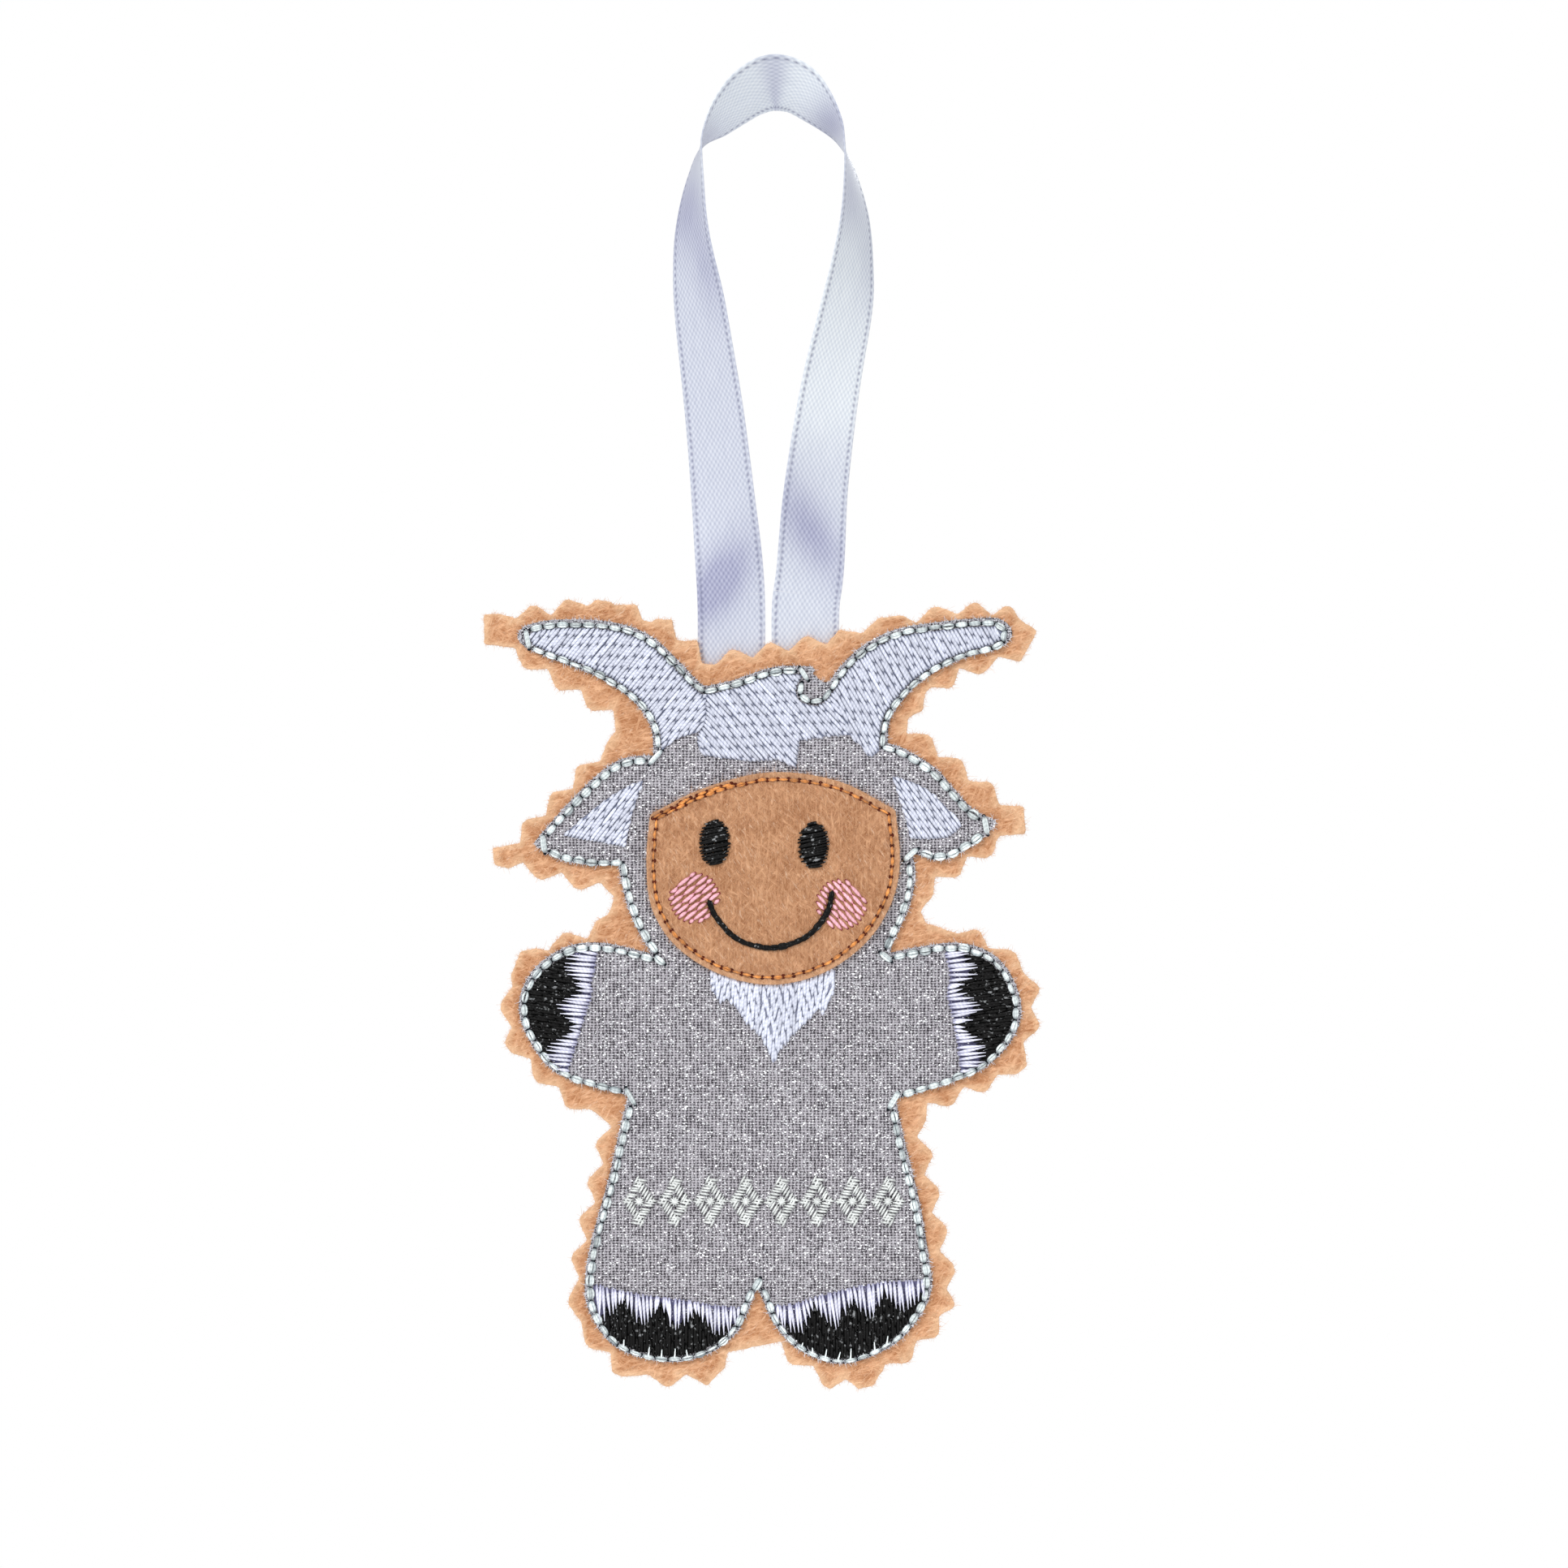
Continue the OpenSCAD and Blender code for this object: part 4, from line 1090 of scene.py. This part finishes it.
# The ribbon's middle line from the left tail over the crown to the right one, and its turn about that
# line: x, z, degrees
ROUTE = np.array([
    (LEFT_TAIL_X, -84, 0), (LEFT_TAIL_X, -76, 0), (-6.3, -70, 5), (-7.2, -60, 20), (-8.6, -46.5, 30),
    (-10.7, -31.1, 40), (-11.8, -22.5, 53), (-12, -16.6, 64), (-11.5, -10.6, 76),
    (-10.5, -5.5, 90), (-8, -2.2, 112), (-5.4, 0.6, 126), (-2.8, 2.7, 135), (0.4, 3.9, 141),
    (3.8, 3.1, 136), (6.8, 0.6, 123), (9.5, -2.6, 106), (10.9, -5.4, 93), (12, -9.2, 81),
    (12.8, -16.6, 65), (12.4, -24, 51), (11.5, -30.5, 40), (9, -42.8, 30), (6.9, -57.7, 20),
    (6, -70, 5), (RIGHT_TAIL_X, -76, 0), (RIGHT_TAIL_X, -84, 0),
])
# Where the tails are cut from the loop
SPLIT_Z = -74.0
TAIL_LENGTH = SPLIT_Z - TAIL_END_Z
# Where the satin's painted sheen falls away to painted lavender shade: x, z, mm across, reach along,
# reach across, tilt, strength
SHEEN = (
    (-6.5, -71, -2, 5, 5.5, 0.7, 0.7), (6.2, -64.5, 0.5, 5.5, 6.5, 0.8, 0.6),
    (-11.9, -14, -2, 7, 7, 0, 0.6), (12.4, -12, 2, 7, 7, 0, 0.6),
    (-10, -5, 0, 3, 9, 0, 0.5), (0.6, 3.9, 0, 1.6, 12, 0, 0.55), (9.3, -2.6, 0, 3.8, 9, 0, 0.85),
    (-12, -25, 3, 7, 3, 0, 0.3), (12.4, -24, -4, 8, 3, 0, 0.25),
)


def smooth_route(points, steps):
    """A cubic through the points with the slopes of their neighbours."""
    slopes = np.gradient(points, axis=0)
    u = np.linspace(0, 1, steps, endpoint=False)[:, None]
    made = []
    for i in range(len(points) - 1):
        a, b, m, n = points[i], points[i + 1], slopes[i], slopes[i + 1]
        made.append((2 * u**3 - 3 * u**2 + 1) * a + (u**3 - 2 * u**2 + u) * m
                    + (3 * u**2 - 2 * u**3) * b + (u**3 - u**2) * n)
    return np.concatenate(made + [points[-1:]])


def evenly(line, step):
    """The line's points at equal distances in x and z, and each one's distance from the start."""
    gone = np.concatenate([[0], np.cumsum(np.linalg.norm(np.diff(line[:, :2], axis=0), axis=1))])
    places = np.linspace(0, gone[-1], int(gone[-1] / step) + 1)
    return np.stack([np.interp(places, gone, line[:, i]) for i in range(3)], 1), places


def satin_tone(line, columns):
    """How far the satin is painted from its sheen to lavender shade, from 0 to 1, at the line's points and
    columns.
    """
    x, z = line[:, 0], line[:, 1]
    tone = np.zeros((len(line), len(columns)))
    for sheen_x, sheen_z, middle, reach, reach_across, tilt, strength in SHEEN:
        apart = np.hypot(x - sheen_x, z - sheen_z) * np.where(z > sheen_z, 1, -1)
        apart = (apart[:, None] - tilt * columns[None]) / reach
        tone += strength * np.exp(-(apart**2) - ((columns[None] - middle) / reach_across) ** 2)
    # The loop's left side turns away from the light, and so does the foot of its right side
    left = 1 / (1 + np.exp(0.8 * x))
    left_leg = left / (1 + np.exp((z + 10) / 4))
    right_foot = (1 - left) / (1 + np.exp((z + 50) / 2))
    return np.clip(tone + 0.03 + (0.46 * left_leg + 0.36 * right_foot)[:, None], 0, 1)


def ribbon(mesh, line, start=0.0):
    """A satin ribbon along a line of (x, z, turn), with a rim and a row of picots along each edge. It
    returns the distance along the ribbon at its end."""
    line, gone = evenly(line, 0.24)
    gone = gone + start
    half = RIBBON_WIDTH / 2
    columns = np.concatenate([
        -half + np.array([0, 0.1, 0.3, 0.48, 0.66, 0.84, 1.05]),
        np.linspace(-half + 1.6, half - 1.6, 13),
        half - np.array([1.05, 0.84, 0.66, 0.48, 0.3, 0.1, 0]),
    ])
    along = np.gradient(line[:, :2], axis=0)
    along /= np.linalg.norm(along, axis=1, keepdims=True)
    turn = np.radians(line[:, 2])
    across = np.stack([along[:, 1] * np.cos(turn), -np.sin(turn), -along[:, 0] * np.cos(turn)], 1)
    normal = np.stack([-along[:, 1] * np.sin(turn), -np.cos(turn), along[:, 0] * np.sin(turn)], 1)
    middle = at_depth(line[:, :2], RIBBON_MIDDLE)
    from_edge = half - np.abs(columns)
    rim = np.exp(-(((from_edge - 0.2) / 0.16) ** 2))
    picot = np.exp(-(((from_edge - 0.66) / 0.2) ** 2))
    beat = 0.5 + 0.5 * np.cos(TURN * gone / PICOT_PITCH)
    thick = RIBBON_THICK / 2 * np.minimum(1, 0.35 + from_edge / 0.25)
    relief = 0.05 * rim[None] + picot[None] * (0.07 * beat[:, None] - 0.045)
    sag = 0.05 * np.array([[noise.noise((g * 0.12, c * 0.2, 2.0)) for c in columns] for g in gone])
    # Painted shade in the holes between the picots
    shade = 1 - picot[None] * (1 - beat[:, None]) * 0.9
    rows, width = len(line), len(columns)
    flat = middle[:, None] + across[:, None] * columns[None, :, None]
    faces = [flat + normal[:, None] * ((thick[None] + relief) * face + sag)[..., None] for face in (1, -1)]
    points = np.concatenate([f.reshape(-1, 3) for f in faces])
    number = np.arange(rows * width).reshape(rows, width)
    grid = np.stack([number[:-1, :-1], number[:-1, 1:], number[1:, 1:], number[1:, :-1]], -1).reshape(-1, 4)
    other = rows * width
    edges = ((number[:, 0], True), (number[:, -1], False), (number[0], False), (number[-1], True))
    sides = []
    for edge, flip in edges:
        band = np.stack([edge[:-1], edge[1:], edge[1:] + other, edge[:-1] + other], -1)
        sides.append(band[:, ::-1] if flip else band)
    thread = np.zeros((rows, width, 3))
    thread[..., 0] = gone[:, None]
    thread[..., 1] = columns[None]
    thread[..., 2] = satin_tone(line, columns)
    mesh.add(points, [grid, grid[:, ::-1] + other, *sides], 0,
             np.concatenate([thread.reshape(-1, 3)] * 2), np.concatenate([shade.ravel()] * 2))
    return gone[-1]


def cut_at(line, z):
    """The line's points down to height z, ending exactly there. It starts at its upper end."""
    above = line[:, 1] > z
    last = np.argmin(above)
    a, b = line[last - 1], line[last]
    return np.concatenate([line[:last], [a + (b - a) * (a[1] - z) / (a[1] - b[1])]])


route = smooth_route(ROUTE, 12)
top = len(route) // 2
left_down = cut_at(route[top::-1], SPLIT_Z)
right_down = cut_at(route[top:], SPLIT_Z)


def tail_line(split):
    """The line from one end of the loop down to the end of its tail."""
    below = route[(route[:, 1] < SPLIT_Z) & (route[:, 0] * split[0] > 0)]
    below = below[np.argsort(-below[:, 1])]
    return np.concatenate([[split], below, [(below[-1][0], TAIL_END_Z, 0)]])


def ribbon_end(name, replaced, line, start):
    """The piece of ribbon from the loop's end, past the felt's edge, down between the felts."""
    mesh = Mesh()
    ribbon(mesh, line, start)
    piece = mesh.piece(name, None, [SATIN], replaced, "ribbon_satin", crease=1.0)
    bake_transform(piece)
    TAIL_LENGTH * MM


loop_mesh = Mesh()
loop_length = ribbon(loop_mesh, np.concatenate([left_down[::-1], right_down[1:]]))
loop_nodes = ("ribbon_crown", "ribbon_leg_left", "ribbon_leg_right")
ribbon_loop = loop_mesh.piece("ribbon_loop", None, [SATIN], loop_nodes, "ribbon_satin", crease=1.0)
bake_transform(ribbon_loop)
loop_length * MM
ribbon_end("ribbon_end_left", "ribbon_tail_left", tail_line(left_down[-1])[::-1], -TAIL_LENGTH)
ribbon_end("ribbon_end_right", "ribbon_tail_right", tail_line(right_down[-1]), loop_length)

# ---- stage, camera and lights ----

# In metres: the middle and the width of the picture, the camera's distance, and the floor
CENTRE = (0.002, 0, -0.1028)
FIELD = 0.2385
DISTANCE = 1.2
FLOOR_Z = -0.26
FLOOR_RADIUS = 0.34
FLOOR_SIDES = 96
# In millimetres
SENSOR = 36

rim_turns = [TURN * k / FLOOR_SIDES for k in range(FLOOR_SIDES)]
rim = [(FLOOR_RADIUS * math.cos(t), FLOOR_RADIUS * math.sin(t), FLOOR_Z) for t in rim_turns]
floor_mesh = bpy.data.meshes.new("floor")
floor_mesh.from_pydata(rim, [], [range(FLOOR_SIDES)])
floor = bpy.data.objects.new("floor", floor_mesh)
paper = plain_fibre_material("floor_paper", srgb(252, 252, 252), srgb(249, 249, 250), 0.05)
floor_mesh.materials.append(paper)
bpy.context.scene.collection.objects.link(floor)

camera_data = bpy.data.cameras.new("camera")
camera_data.sensor_width = SENSOR
camera_data.lens = SENSOR * DISTANCE / FIELD
camera = bpy.data.objects.new("camera", camera_data)
camera.location = (CENTRE[0], -DISTANCE, CENTRE[2])
camera.rotation_euler = (math.pi / 2, 0, 0)
bpy.context.scene.collection.objects.link(camera)
bpy.context.scene.camera = camera


def soft_light(name, place, size, power):
    data = bpy.data.lights.new(name, "AREA")
    data.shape = "DISK"
    data.size = size
    data.energy = power
    light = bpy.data.objects.new(name, data)
    light.location = place
    light.rotation_euler = (Vector(CENTRE) - Vector(place)).to_track_quat("-Z", "Y").to_euler()
    bpy.context.scene.collection.objects.link(light)


soft_light("key", (-0.55, -0.75, 0.55), 0.4, 6.6)
soft_light("fill", (0.8, -0.6, 0.1), 0.8, 2.0)
soft_light("rear", (0.3, 0.9, 0.5), 0.7, 5.0)

world = bpy.data.worlds.new("studio")
world.use_nodes = True
sky = world.node_tree
sky.nodes.clear()
output = sky.nodes.new("ShaderNodeOutputWorld")
mixed = sky.nodes.new("ShaderNodeMixShader")
seen, lighting = sky.nodes.new("ShaderNodeBackground"), sky.nodes.new("ShaderNodeBackground")
seen.inputs[0].default_value = (1, 1, 1, 1)
lighting.inputs[0].default_value = (0.96, 0.98, 1, 1)
lighting.inputs[1].default_value = 0.62
path = sky.nodes.new("ShaderNodeLightPath")
sky.links.new(path.outputs["Is Camera Ray"], mixed.inputs[0])
sky.links.new(lighting.outputs[0], mixed.inputs[1])
sky.links.new(seen.outputs[0], mixed.inputs[2])
sky.links.new(mixed.outputs[0], output.inputs[0])
bpy.context.scene.world = world
bpy.context.scene.view_settings.view_transform = "Standard"
